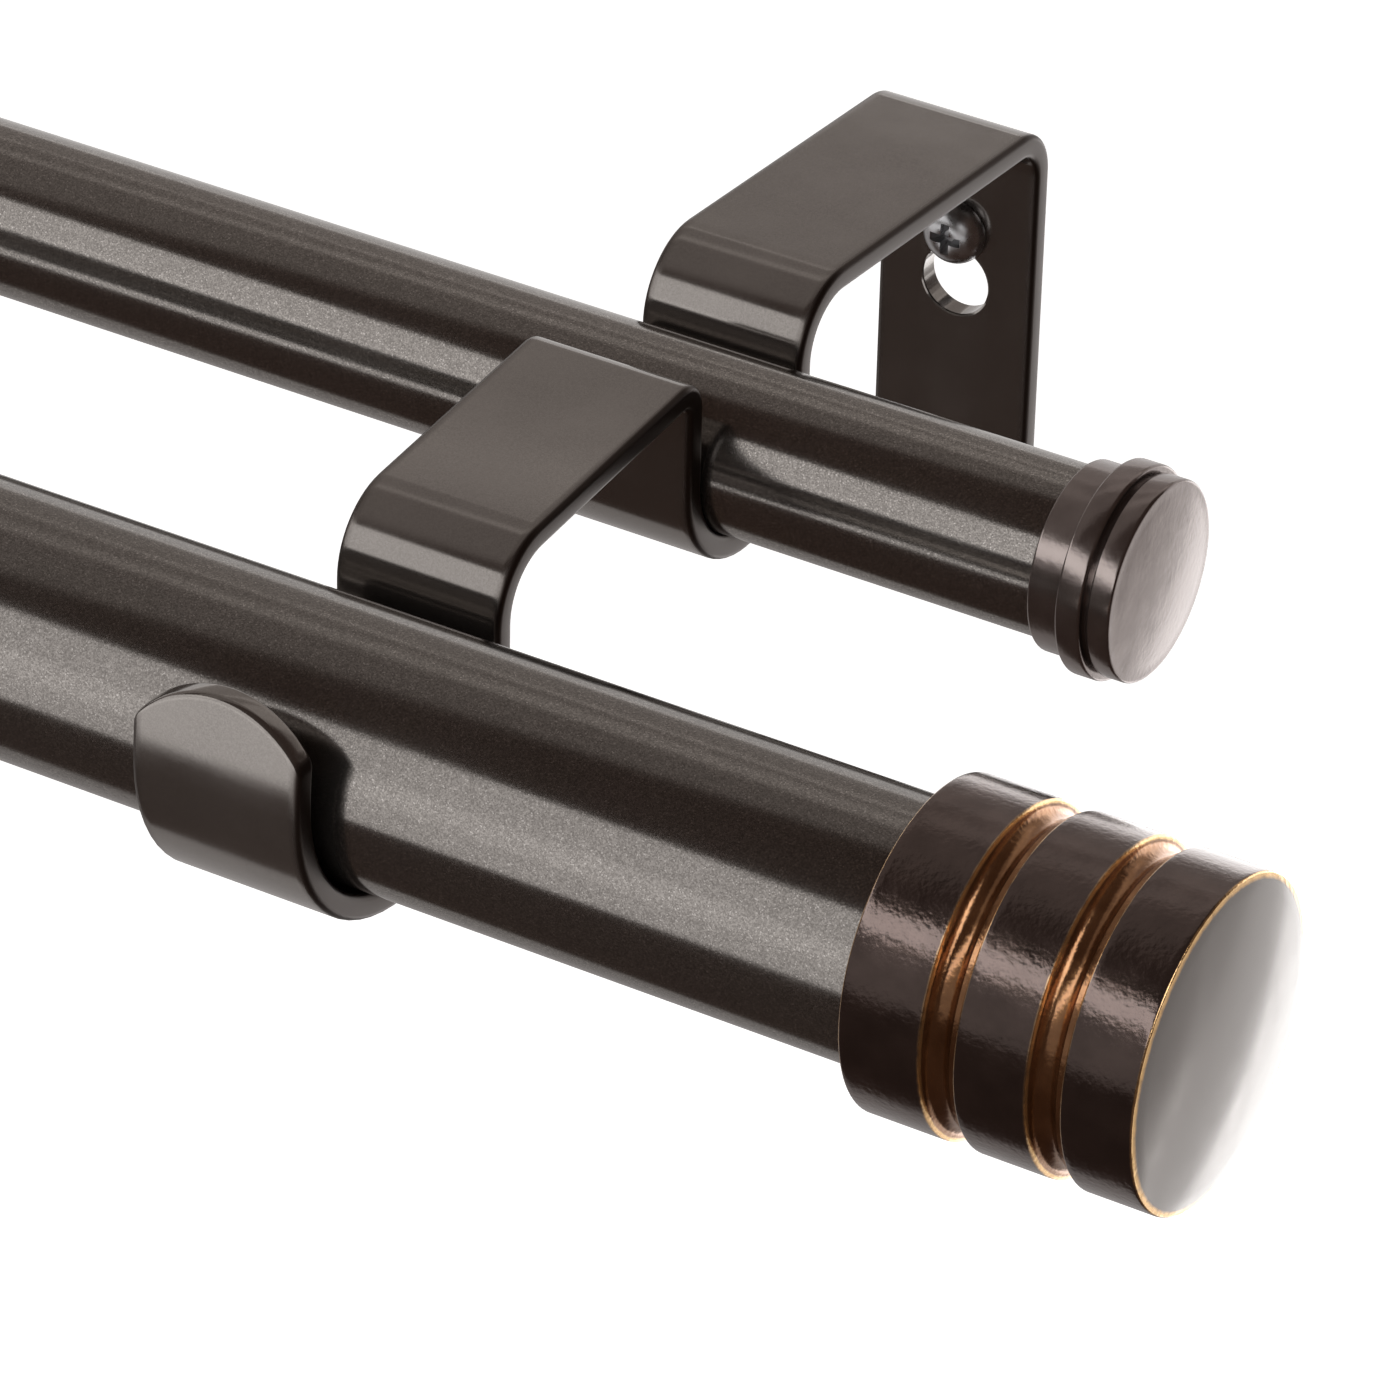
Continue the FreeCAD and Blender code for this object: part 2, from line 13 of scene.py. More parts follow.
import bpy
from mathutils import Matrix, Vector


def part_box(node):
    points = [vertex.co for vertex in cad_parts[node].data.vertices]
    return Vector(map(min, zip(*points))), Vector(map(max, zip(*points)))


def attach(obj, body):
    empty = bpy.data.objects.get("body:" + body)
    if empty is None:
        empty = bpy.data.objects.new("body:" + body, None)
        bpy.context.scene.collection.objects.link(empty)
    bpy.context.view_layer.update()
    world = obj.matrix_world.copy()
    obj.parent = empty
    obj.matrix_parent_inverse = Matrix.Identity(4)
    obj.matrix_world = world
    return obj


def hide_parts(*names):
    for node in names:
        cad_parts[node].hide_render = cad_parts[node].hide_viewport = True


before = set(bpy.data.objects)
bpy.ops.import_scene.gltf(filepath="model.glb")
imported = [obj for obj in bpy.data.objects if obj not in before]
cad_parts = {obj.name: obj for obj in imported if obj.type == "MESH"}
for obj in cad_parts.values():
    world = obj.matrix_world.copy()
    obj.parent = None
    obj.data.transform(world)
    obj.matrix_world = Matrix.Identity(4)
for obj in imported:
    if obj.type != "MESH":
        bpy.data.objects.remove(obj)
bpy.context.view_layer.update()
MM = 0.001

# %% [markdown]
# ## One way to start every piece
#
# A primitive could be added and shaped with its object moved or turned, but then every pattern
# on Object coordinates would slide with it. So each piece is brought to the origin as soon as it
# is added: its place is then in its mesh, as it is in the CAD model. An operator acts on all
# that is selected, so everything is deselected first.

# %% Starting a piece
def deselect_all():
    if bpy.context.object is not None and bpy.context.object.mode != "OBJECT":
        bpy.ops.object.mode_set(mode="OBJECT")
    bpy.ops.object.select_all(action="DESELECT")


def make_current(piece):
    deselect_all()
    piece.select_set(True)
    bpy.context.view_layer.objects.active = piece


def take_primitive(name):
    """Names the primitive just added and puts its place into its mesh."""
    piece = bpy.context.object
    piece.name = name
    piece.data.name = name
    bpy.ops.object.transform_apply(location=True, rotation=True, scale=True)
    return piece


# %% [markdown]
# ## One way to end every piece
#
# Drawing and spinning leave doubled points and faces that look inwards. They could be mended
# piece by piece, but a helper that ends each piece can't be forgotten. It shades round stretches
# smooth and leaves real corners sharp. A second helper hands the piece over: it takes the place
# of its CAD node and rides the same body.

# %% Ending a piece
MERGE_WITHIN = 0.002 * MM


def tidy_mesh(piece, smooth_angle=30.0):
    """Merges doubles, points the faces outwards and shades round stretches smooth."""
    make_current(piece)
    bpy.ops.object.mode_set(mode="EDIT")
    bpy.ops.mesh.select_all(action="SELECT")
    bpy.ops.mesh.remove_doubles(threshold=MERGE_WITHIN)
    bpy.ops.mesh.normals_make_consistent(inside=False)
    bpy.ops.object.mode_set(mode="OBJECT")
    bpy.ops.object.shade_smooth_by_angle(angle=math.radians(smooth_angle))


def stand_for(piece, node, body):
    """Puts the finer piece in the place of its CAD node, on the body that carries it."""
    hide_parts(node)
    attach(piece, body)
    print(f"{piece.name}: {len(piece.data.polygons)} faces, rides {body}")


# %% [markdown]
# ## How a turned piece is drawn
#
# Finials, caps and screw heads are turned: every section across their axis is a circle. They
# could be spun from a half outline, but spinning leaves a seam and a pinched pole to repair.
# Here one circle is drawn out instead, station by station, and scaled at each one, the way a
# turner's profile is read along the axis. Corners of the profile are eased to small rounds
# before it is drawn, because a real edge always catches a thin line of light.

# %% Profiles with eased corners
def eased(corners, steps=4):
    """Points of a profile from corners (place, radius) or (place, radius, ease)."""
    points = []
    last = len(corners) - 1
    for index, corner in enumerate(corners):
        here = Vector(corner[:2])
        ease = corner[2] if len(corner) > 2 and 0 < index < last else 0.0
        if ease == 0.0:
            points.append(here)
            continue
        back = (Vector(corners[index - 1][:2]) - here).normalized()
        ahead = (Vector(corners[index + 1][:2]) - here).normalized()
        half = math.acos(max(-1.0, min(1.0, back.dot(ahead)))) / 2
        setback = ease / math.tan(half)
        centre = here + (back + ahead).normalized() * (ease / math.sin(half))
        first, final = here + back * setback - centre, here + ahead * setback - centre
        sweep = first.angle_signed(final)
        for step in range(steps + 1):
            turn = -sweep * step / steps
            cos, sin = math.cos(turn), math.sin(turn)
            points.append(centre + Vector((first.x * cos - first.y * sin, first.x * sin + first.y * cos)))
    return points


print("points on one eased corner:", len(eased([(0, 0), (1, 0, 0.1), (1, 1)])) - 2)

# %% [markdown]
# Coves and domes are arcs of a circle between two points of the profile. Their centre could be
# measured and written down, but how far the arc stands out is easier to see on the real piece,
# so the centre is worked out from that.

# %% Bowed stretches of a profile
def bowed(start, end, rise, steps):
    """Points between two ends on an arc that stands out by rise from the chord, to its left."""
    start, end = Vector(start), Vector(end)
    chord = end - start
    radius = (chord.length_squared / 4 + rise * rise) / (2 * abs(rise))
    side = math.copysign(1.0, rise)
    left = Vector((-chord.y, chord.x)).normalized()
    centre = (start + end) / 2 - left * side * (radius - abs(rise))
    reach = math.asin(min(1.0, chord.length / 2 / radius))
    along = chord.normalized()
    return [centre + along * radius * math.sin(turn) + left * side * radius * math.cos(turn)
            for turn in (reach * (2 * step / steps - 1) for step in range(1, steps))]


# %% [markdown]
# The two ends of a closed profile lie on the axis. A ring of no radius can't be scaled up
# again, so the first ring starts small, and both end rings are merged to a point afterwards.

# %% Drawing a circle along a profile
START_RADIUS = 0.05 * MM


def select_where(piece, test, kind="VERT"):
    """In edit mode, selects the vertices or edges whose middle passes the test."""
    bpy.ops.mesh.select_mode(type=kind)
    bpy.ops.mesh.select_all(action="DESELECT")
    bpy.ops.object.mode_set(mode="OBJECT")
    mesh = piece.data
    for item in mesh.vertices if kind == "VERT" else mesh.edges:
        if kind == "VERT":
            middle = item.co
        else:
            middle = (mesh.vertices[item.vertices[0]].co + mesh.vertices[item.vertices[1]].co) / 2
        item.select = bool(test(middle))
    bpy.ops.object.mode_set(mode="EDIT")


def draw_turned(name, base, axis, profile, sides=96):
    """Draws a circle along axis from base through the profile's stations and closes both ends."""
    deselect_all()
    stations = [(place, max(radius, START_RADIUS)) for place, radius in profile]
    turn = (0, math.pi / 2, 0) if abs(axis.x) > 0.5 else (math.pi / 2, 0, 0)
    place, radius = stations[0]
    bpy.ops.mesh.primitive_circle_add(vertices=sides, radius=radius, location=base + axis * place,
                                      rotation=turn)
    piece = take_primitive(name)
    bpy.ops.object.mode_set(mode="EDIT")
    bpy.ops.mesh.select_all(action="SELECT")
    for next_place, next_radius in stations[1:]:
        bpy.ops.mesh.extrude_region_move(TRANSFORM_OT_translate={"value": axis * (next_place - place)})
        factor = next_radius / radius
        widen = (1, factor, factor) if abs(axis.x) > 0.5 else (factor, 1, factor)
        bpy.ops.transform.resize(value=widen, center_override=base + axis * next_place)
        place, radius = next_place, next_radius
    for end_place, end_radius in (stations[0], stations[-1]):
        if end_radius <= START_RADIUS:
            tip = base + axis * end_place
            select_where(piece, lambda point: (point - tip).length < 2 * START_RADIUS)
            bpy.ops.mesh.merge(type="CENTER")
    bpy.ops.object.mode_set(mode="OBJECT")
    return piece


# %% [markdown]
# ## The finials
#
# A finial is one turned casting: three lands with two coves between them, a gently domed face,
# and behind it a socket with a stud that presses into the plug of the pole. Each cove starts
# under a sharp edge and ends at a small shoulder beside the next land. The coves could be cut
# into a cylinder with rings, but a lathe profile with all of these is drawn in one go.

# %% Sizes of the finial
FINIAL_R = 17.5 * MM
LANDS = (9.0 * MM, 8.0 * MM, 7.8 * MM)
COVE_WIDTH, COVE_DEPTH = 3.65 * MM, 1.25 * MM
SHOULDER, SHOULDER_EASE = 0.7 * MM, 0.12 * MM
LAND_EASE, EDGE_BAND = 0.3 * MM, 0.45 * MM
FACE_DOME = 1.6 * MM
FACE_BOW, BROW = 0.225 * FACE_DOME, 0.1 * FACE_DOME
SOCKET_DEPTH, SOCKET_R = 14.0 * MM, 14.1 * MM
STUD_R, STUD_LENGTH = 3.0 * MM, 12.0 * MM

FIRST_COVE = LANDS[0]
SECOND_COVE = FIRST_COVE + COVE_WIDTH + LANDS[1]
FACE = SECOND_COVE + COVE_WIDTH + LANDS[2]
print(f"finial: {(FACE + FACE_DOME) / MM:.1f} mm long, {2 * FINIAL_R / MM:.1f} mm thick")

# %% [markdown]
# The profile is read from the stud and the socket to the three lands and the dome. It could be
# one long list of points, but both coves are alike, so one function gives the points of either.

# %% Profile of the finial
def cove_stations(start):
    """The profile from the sharp edge of one land to the eased edge of the next."""
    wall = start + COVE_WIDTH
    lip = (start, FINIAL_R - LAND_EASE)
    foot = (wall - SHOULDER, FINIAL_R - SHOULDER)
    edge = [(start - EDGE_BAND, FINIAL_R), (start - 0.5 * LAND_EASE, FINIAL_R), lip]
    shoulder = eased([foot, (wall, FINIAL_R - SHOULDER, SHOULDER_EASE), (wall, FINIAL_R, LAND_EASE),
                      (wall + 2 * EDGE_BAND, FINIAL_R)])
    return edge + bowed(lip, foot, -COVE_DEPTH, steps=14) + shoulder


def finial_profile():
    stud_end, rim_r = SOCKET_DEPTH - STUD_LENGTH, FINIAL_R - 2 * EDGE_BAND
    inside = eased([(stud_end, 0), (stud_end, STUD_R, LAND_EASE), (SOCKET_DEPTH, STUD_R),
                    (SOCKET_DEPTH, SOCKET_R), (0, SOCKET_R, LAND_EASE),
                    (0, FINIAL_R, LAND_EASE), (2 * EDGE_BAND, FINIAL_R)])
    rim = eased([(FACE - 2 * EDGE_BAND, FINIAL_R), (FACE, FINIAL_R, LAND_EASE), (FACE, rim_r)])
    brow, tip = (FACE + BROW, rim_r), (FACE + FACE_DOME, 0)
    dome = [brow] + bowed(brow, tip, FACE_BOW, steps=14) + [tip]
    return inside + cove_stations(FIRST_COVE) + cove_stations(SECOND_COVE) + rim[:-1] + dome


print("stations in the finial's profile:", len(finial_profile()))

# %% [markdown]
# The finish needs to know where the coves, the rubbed edges and the end face are. A texture
# could find them from coordinates, but the two finials point opposite ways. So each mesh carries
# three numbers at every point, worked out from its place along the axis and its radius.

# %% Marking coves, rubbed edges and the end face
SKIN_R = SOCKET_R + 0.5 * MM
COVE_LIP, COVE_FOOT, COVE_SHALLOW = 0.02 * MM, 0.05 * MM, 0.2 * MM
SHARP_REACH, SOFT_REACH, SOFT_RUB = 0.8 * LAND_EASE, 1.2 * LAND_EASE, 0.7


def cove_at(place, radius):
    """1 in the hollow of a cove, 0 elsewhere."""
    in_cove = any(start + COVE_LIP < place < start + COVE_WIDTH - COVE_FOOT
                  for start in (FIRST_COVE, SECOND_COVE))
    return 1.0 if in_cove and SKIN_R < radius < FINIAL_R - COVE_SHALLOW else 0.0


def rubbed_at(place, radius):
    """1 on a sharp edge, less on an eased one, 0 elsewhere."""
    sharp = min(abs(place - edge) for edge in (0.0, FIRST_COVE, SECOND_COVE, FACE))
    soft = min(abs(place - edge) for edge in (FIRST_COVE + COVE_WIDTH, SECOND_COVE + COVE_WIDTH))
    value = max(1.0 - sharp / SHARP_REACH, SOFT_RUB * (1.0 - soft / SOFT_REACH), 0.0)
    return value if radius > FINIAL_R - EDGE_BAND else 0.0


def face_at(place, radius):
    """1 on the end face, 0 elsewhere."""
    return 1.0 if place > FACE and radius < FINIAL_R - LAND_EASE else 0.0


def mark_finial(piece, base, axis):
    """Writes the point attributes cove, rubbed and end_face for the finish."""
    for name, value_at in (("cove", cove_at), ("rubbed", rubbed_at), ("end_face", face_at)):
        mark = piece.data.attributes.new(name, "FLOAT", "POINT")
        for vertex in piece.data.vertices:
            offset = vertex.co - base
            place = offset.dot(axis)
            mark.data[vertex.index].value = value_at(place, (offset - axis * place).length)


# %% [markdown]
# The left finial could be a mirror image, but mirroring turns a mesh inside out. It is drawn the
# other way along the axis instead, so it is a true turned copy with a mesh of its own.

# %% Building both finials
TURNED_SMOOTH = 24.0


def end_of(node, side):
    """Middle of the rim of an end piece: the side of its box that faces its pole."""
    low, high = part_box(node)
    return Vector((low.x if side > 0 else high.x, (low.y + high.y) / 2, (low.z + high.z) / 2))


def make_finial(side_name, side, body):
    node = f"front_{side_name}_finial"
    base, axis = end_of(node, side), Vector((side, 0, 0))
    piece = draw_turned(f"{side_name}_finial", base, axis, finial_profile(), sides=128)
    tidy_mesh(piece, smooth_angle=TURNED_SMOOTH)
    mark_finial(piece, base, axis)
    stand_for(piece, node, body)
    return piece


finials = [make_finial("right", 1, "root"), make_finial("left", -1, "front_inner_pole")]

# %% [markdown]
# ## The end caps
#
# The thin pole ends in a smaller cap: a collar, a wider band, a fine groove and a disc with a
# nearly flat face. It could be stacked from discs, but they would leave hidden faces between
# them. It is the same kind of turned piece, and only its profile differs. The fine groove is
# narrower than the steps beside it, so it reads as one dark line.

# %% Building both caps
COLLAR_R, BAND_R, DISC_R = 10.5 * MM, 11.8 * MM, 11.1 * MM
COLLAR_END, BAND_END, DISC_END = 4.0 * MM, 6.9 * MM, 10.0 * MM
FINE_GROOVE = 0.5 * MM
CAP_SOCKET_DEPTH, CAP_SOCKET_R = 6.5 * MM, 9.6 * MM
CAP_STUD_R, CAP_STUD_LENGTH = 2.5 * MM, 5.0 * MM
CAP_EASE, SLIGHT_EASE, MOUTH_EASE, STEP_EASE = 0.35 * MM, 0.25 * MM, 0.2 * MM, 0.15 * MM
CAP_DOME = 0.6 * MM
CAP_BOW, CAP_BROW = 0.25 * CAP_DOME, 1.6 * CAP_EASE


def cap_profile():
    stud_end, disc_start = CAP_SOCKET_DEPTH - CAP_STUD_LENGTH, BAND_END + FINE_GROOVE
    brow, tip = (DISC_END, DISC_R - CAP_BROW), (DISC_END + CAP_DOME, 0)
    outside = eased([
        (stud_end, 0), (stud_end, CAP_STUD_R, SLIGHT_EASE), (CAP_SOCKET_DEPTH, CAP_STUD_R),
        (CAP_SOCKET_DEPTH, CAP_SOCKET_R), (0, CAP_SOCKET_R, MOUTH_EASE),
        (0, COLLAR_R, CAP_EASE), (COLLAR_END, COLLAR_R, STEP_EASE), (COLLAR_END, BAND_R, CAP_EASE),
        (BAND_END, BAND_R, CAP_EASE), (BAND_END, DISC_R - FINE_GROOVE), (disc_start, DISC_R - FINE_GROOVE),
        (disc_start, DISC_R, SLIGHT_EASE), (DISC_END, DISC_R, CAP_EASE), brow,
    ])
    return outside + bowed(brow, tip, CAP_BOW, steps=10) + [tip]


def make_cap(side_name, side, body):
    node = f"back_{side_name}_cap"
    piece = draw_turned(f"{side_name}_cap", end_of(node, side), Vector((side, 0, 0)), cap_profile())
    tidy_mesh(piece, smooth_angle=TURNED_SMOOTH)
    stand_for(piece, node, body)
    return piece


caps = [make_cap("right", 1, "root"), make_cap("left", -1, "back_inner_pole")]

# %% [markdown]
# ## The tubes
#
# Each pole is two thin steel tubes, the thinner one sliding in the thicker. A solid cylinder
# would look the same from the front, but the open mouth where the inner tube comes out shows a
# real wall. So a cylinder without ends gets its wall from Solidify, and Bevel eases the rims.

# %% Building the four tubes
TUBE_WALL, RIM_EASE = 1.0 * MM, 0.25 * MM


def apply_modifiers(piece):
    make_current(piece)
    for modifier in list(piece.modifiers):
        bpy.ops.object.modifier_apply(modifier=modifier.name)


def make_tube(node, body):
    low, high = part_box(node)
    deselect_all()
    bpy.ops.mesh.primitive_cylinder_add(vertices=128, radius=(high.z - low.z) / 2, depth=high.x - low.x,
                                        end_fill_type="NOTHING", location=(low + high) / 2,
                                        rotation=(0, math.pi / 2, 0))
    name = node.replace("_outer_tube", "_outer_pole").replace("_inner_tube", "_inner_pole_tube")
    piece = take_primitive(name)
    wall = piece.modifiers.new("wall", "SOLIDIFY")
    wall.thickness = TUBE_WALL
    wall.offset = -1.0
    rims = piece.modifiers.new("rims", "BEVEL")
    rims.width = RIM_EASE
    rims.segments = 3
    rims.limit_method = "ANGLE"
    rims.angle_limit = math.radians(60)
    apply_modifiers(piece)
    tidy_mesh(piece)
    stand_for(piece, node, body)
    return piece


tubes = [make_tube("front_outer_tube", "root"), make_tube("back_outer_tube", "root"),
         make_tube("front_inner_tube", "front_inner_pole"), make_tube("back_inner_tube", "back_inner_pole")]

# %% [markdown]
# ## The brackets
#
# A bracket is one flat strip of steel, folded over formers. A side outline could be extruded to
# its width, but then the rounded long edges would have to be bevelled round every bend. The
# strip is drawn as it is made instead: its rounded section is extruded along each straight run
# and spun about the centre of each bend.

# %% Sizes of the bracket, taken from what it carries
STRIP_WIDTH, STRIP_THICKNESS = 20.0 * MM, 2.8 * MM
STRIP_EASE = 0.7 * MM
HALF = STRIP_THICKNESS / 2
BEND_R = {"wall": 6.5 * MM - HALF, "drop": 9.0 * MM - HALF,
          "lip": 3.8 * MM - HALF, "neck": 9.0 * MM - HALF}
ARM_RISE = {"back": 13.8 * MM, "front": 14.3 * MM}
ARM_SLOPE = {"back": math.radians(3.0), "front": math.radians(5.0)}
CRADLE_PLAY = {"back": 0.4 * MM, "front": 3.0 * MM}
SEAT_GAP = 0.05 * MM
TONGUE_RISE, TONGUE_CROWN = 13.5 * MM, 5.0 * MM


def pole_height(pole):
    low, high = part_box(f"{pole}_outer_tube")
    return (low.z + high.z) / 2


def cradle(pole):
    """Centre (y, z) and middle radius of the half round under a pole."""
    low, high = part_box(f"{pole}_outer_tube")
    centre = ((low.y + high.y) / 2, pole_height(pole) + CRADLE_PLAY[pole] - SEAT_GAP)
    return centre, (high.z - low.z) / 2 + CRADLE_PLAY[pole] + HALF


print("back cradle", cradle("back"), "front cradle", cradle("front"))

# %% [markdown]
# Each corner of the strip's side view is one bend. Where a run that leans meets an upright one,
# the bend turns by a little less or a little more than a right angle, so the angle and the
# centre are worked out from the two directions instead of being written down.

# %% The route of the strip
def route_of_strip(foot_z):
    """Corners (y, z, bend radius) of the strip's middle line, from the plate's foot to the tongue."""
    (back_y, back_z), back_r = cradle("back")
    (front_y, front_z), front_r = cradle("front")
    upper = pole_height("back") + ARM_RISE["back"] - HALF
    lower = pole_height("front") + ARM_RISE["front"] - HALF
    drop, lip = back_y + back_r, back_y - back_r
    neck, tongue = front_y + front_r, front_y - front_r
    wall_z = upper - (-HALF - drop) * math.tan(ARM_SLOPE["back"])
    lip_z = lower + (lip - neck) * math.tan(ARM_SLOPE["front"])
    return [
        (-HALF, foot_z, 0.0),
        (-HALF, wall_z, BEND_R["wall"]),
        (drop, upper, BEND_R["drop"]),
        (drop, back_z - back_r, back_r),
        (lip, back_z - back_r, back_r),
        (lip, lip_z, BEND_R["lip"]),
        (neck, lower, BEND_R["neck"]),
        (neck, front_z - front_r, front_r),
        (tongue, front_z - front_r, front_r),
        (tongue, pole_height("front") + TONGUE_RISE, 0.0),
    ]


print("bends in the strip:", sum(radius > 0 for _, _, radius in route_of_strip(0.0)))

# %% [markdown]
# A run is extruded and a bend is spun, so the section always stays square to the route. A curve
# with a bevel could follow the route too, but its handles only come near a true arc, and a
# cradle has to be a half circle.

# %% Drawing the section along the route
HAIR = 0.01 * MM
BEND_STEP, FEWEST_STEPS = 6.0, 6


def draw_strip(x, route):
    """Draws the selected section along the route: extrude for a run, spin for a bend."""
    points = [Vector((x, y, z)) for y, z, _ in route]
    here = points[0].copy()
    for index in range(1, len(points) - 1):
        back = (points[index - 1] - points[index]).normalized()
        ahead = (points[index + 1] - points[index]).normalized()
        half = back.angle(ahead) / 2
        radius = route[index][2]
        start = points[index] + back * (radius / math.tan(half))
        centre = points[index] + (back + ahead).normalized() * (radius / math.sin(half))
        if (start - here).length > HAIR:
            bpy.ops.mesh.extrude_region_move(TRANSFORM_OT_translate={"value": start - here})
        sweep = math.pi - 2 * half
        side = math.copysign(1.0, (start - centre).cross(back).x)
        steps = max(FEWEST_STEPS, round(math.degrees(sweep) / BEND_STEP))
        bpy.ops.mesh.spin(steps=steps, angle=sweep * side, center=centre, axis=(1, 0, 0))
        here = points[index] + ahead * (radius / math.tan(half))
    return here


# %% [markdown]
# The section is a rectangle whose corners are rounded before it is drawn, so the long edges come
# out round in every run and every bend. The two long sides get extra points across the strip,
# because the tongue's end is an arch and the foot's corners are round.

# %% The strip's section
ACROSS_CUTS = 31
EASE_STEPS = 6


def start_section(name, x, y, z):
    """Adds the strip's rounded section as a ring of edges, selected in edit mode."""
    deselect_all()
    bpy.ops.mesh.primitive_plane_add(size=1.0, location=(x, y, z))
    bpy.context.object.scale = (STRIP_WIDTH, STRIP_THICKNESS, 1)
    piece = take_primitive(name)
    bpy.ops.object.mode_set(mode="EDIT")
    bpy.ops.mesh.select_all(action="SELECT")
    bpy.ops.mesh.bevel(offset=STRIP_EASE, segments=EASE_STEPS, affect="VERTICES")
    bpy.ops.mesh.select_all(action="SELECT")
    bpy.ops.mesh.delete(type="ONLY_FACE")
    select_where(piece, lambda middle: abs(middle.x - x) < STRIP_EASE, kind="EDGE")
    bpy.ops.mesh.subdivide(number_cuts=ACROSS_CUTS)
    bpy.ops.mesh.select_all(action="SELECT")
    return piece


# %% [markdown]
# The powder coat rounds the cut ends as it rounds the long edges. An end could be bevelled after
# it is closed, but the bevel would meet the rounded corners badly. So the last rings are drawn on
# a little further and made smaller each time, and only then is the end closed.

# %% Drawing the whole strip
END_TUCK = 0.9
TONGUE_RINGS = 6


def round_off(here, way):
    """Draws the selected end ring on for a rounded end edge and closes it."""
    done_in = done_out = 0.0
    for step in range(1, EASE_STEPS + 1):
        turn = math.pi / 2 * step / EASE_STEPS
        inward = STRIP_EASE * (1 - math.cos(turn)) * END_TUCK
        outward = STRIP_EASE * math.sin(turn)
        onward = Vector((0, 0, way * (outward - done_out)))
        bpy.ops.mesh.extrude_region_move(TRANSFORM_OT_translate={"value": onward})
        factors = [(size - 2 * inward) / (size - 2 * done_in) for size in (STRIP_WIDTH, STRIP_THICKNESS)]
        bpy.ops.transform.resize(value=(*factors, 1), center_override=here)
        done_in, done_out = inward, outward
    bpy.ops.mesh.edge_face_add()
    bpy.ops.mesh.quads_convert_to_tris(quad_method="BEAUTY", ngon_method="BEAUTY")


def fold_strip(name, x, foot_z):
    """The whole strip before its ends are shaped and its holes are pierced."""
    route = route_of_strip(foot_z + STRIP_EASE)
    tongue_y, tongue_z = route[-1][0], route[-1][1] - STRIP_EASE
    foot = Vector((x, -HALF, foot_z + STRIP_EASE))
    piece = start_section(name, *foot)
    here = draw_strip(x, route)
    tongue_foot = here.z
    arch_start = (tongue_foot + tongue_z - TONGUE_CROWN) / 2
    for low, high in ((tongue_foot, arch_start), (arch_start, tongue_z)):
        for step in range(1, TONGUE_RINGS + 1):
            there = Vector((x, tongue_y, low + (high - low) * step / TONGUE_RINGS))
            bpy.ops.mesh.extrude_region_move(TRANSFORM_OT_translate={"value": there - here})
            here = there
    round_off(here, 1)

    def in_foot_ring(point):
        return abs(point.z - foot.z) < HAIR and abs(point.y - foot.y) < STRIP_THICKNESS

    select_where(piece, in_foot_ring)
    round_off(foot, -1)
    bpy.ops.object.mode_set(mode="OBJECT")
    print(f"{name}: tongue's top at {here.z / MM:.1f} mm")
    return piece, tongue_y, (tongue_foot, arch_start, tongue_z)


# %% [markdown]
# The ends are still square. The tongue ends in an arch over the strip's full width, and the
# foot has two round corners. They could be cut with booleans, but that would cut the rounded
# edges off too. Only the rings near an end have to move, and each point moves along the strip by
# the height that its place across the strip asks for. The tongue also curls a little towards its
# pole, which is what makes its upper half catch the light.

# %% Shaping the tongue and the foot
ARCH_R = ((STRIP_WIDTH / 2) ** 2 + TONGUE_CROWN ** 2) / (2 * TONGUE_CROWN)
TONGUE_CURL_R = 45.0 * MM
PLATE_CORNER = 3.0 * MM
print(f"radius of the tongue's arch: {ARCH_R / MM:.1f} mm")


def held(value):
    """Holds a number between 0 and 1."""
    return max(0.0, min(1.0, value))


def arch_drop(across):
    return ARCH_R - math.sqrt(max(ARCH_R ** 2 - across ** 2, 0.0))


def corner_rise(across):
    inside = abs(across) - (STRIP_WIDTH / 2 - PLATE_CORNER)
    return PLATE_CORNER - math.sqrt(max(PLATE_CORNER ** 2 - inside ** 2, 0.0)) if inside > 0 else 0.0


def shape_ends(piece, x, foot_z, tongue_y, levels):
    tongue_foot, arch_start, tongue_top = levels
    for vertex in piece.data.vertices:
        point = vertex.co
        across = max(-STRIP_WIDTH / 2, min(STRIP_WIDTH / 2, point.x - x))
        if abs(point.y - tongue_y) < STRIP_THICKNESS and point.z > tongue_foot:
            point.z -= arch_drop(across) * held((point.z - arch_start) / (tongue_top - arch_start))
            point.y += (point.z - tongue_foot) ** 2 / (2 * TONGUE_CURL_R)
        elif abs(point.y + HALF) < STRIP_THICKNESS and point.z < foot_z + STRIP_EASE + HAIR:
            point.z += corner_rise(across)


# %% [markdown]
# The plate has a keyhole, so that it can be hooked over its upper screw, and a plain round hole
# for the lower one. Pressed holes have slightly rolled rims. Each cutter is therefore flared
# where it leaves the plate, and the boolean leaves the rim eased with no bevel to repair.

# %% Cutters with flared ends
HOLE_RIM, RIM_SHARE = 0.25 * MM, 0.3
CUTTER_CLEAR = 1.0 * MM


def flare(half_width):
    """Stations (place along +Y, half width) of a hole through the plate with eased rims."""
    front = -STRIP_THICKNESS
    rim = [(0.0, HOLE_RIM), (RIM_SHARE * HOLE_RIM, RIM_SHARE * HOLE_RIM), (HOLE_RIM, 0.0)]
    entry = [(front + deep, half_width + wide) for deep, wide in rim]
    leaving = [(-deep, half_width + wide) for deep, wide in reversed(rim)]
    widest = half_width + HOLE_RIM + CUTTER_CLEAR
    return [(front - CUTTER_CLEAR, widest)] + entry + leaving + [(CUTTER_CLEAR, widest)]


def round_cutter(x, z, radius):
    stations = flare(radius)
    closed = [(stations[0][0], 0.0), *stations, (stations[-1][0], 0.0)]
    return draw_turned("cutter", Vector((x, 0, z)), Vector((0, 1, 0)), closed, sides=64)


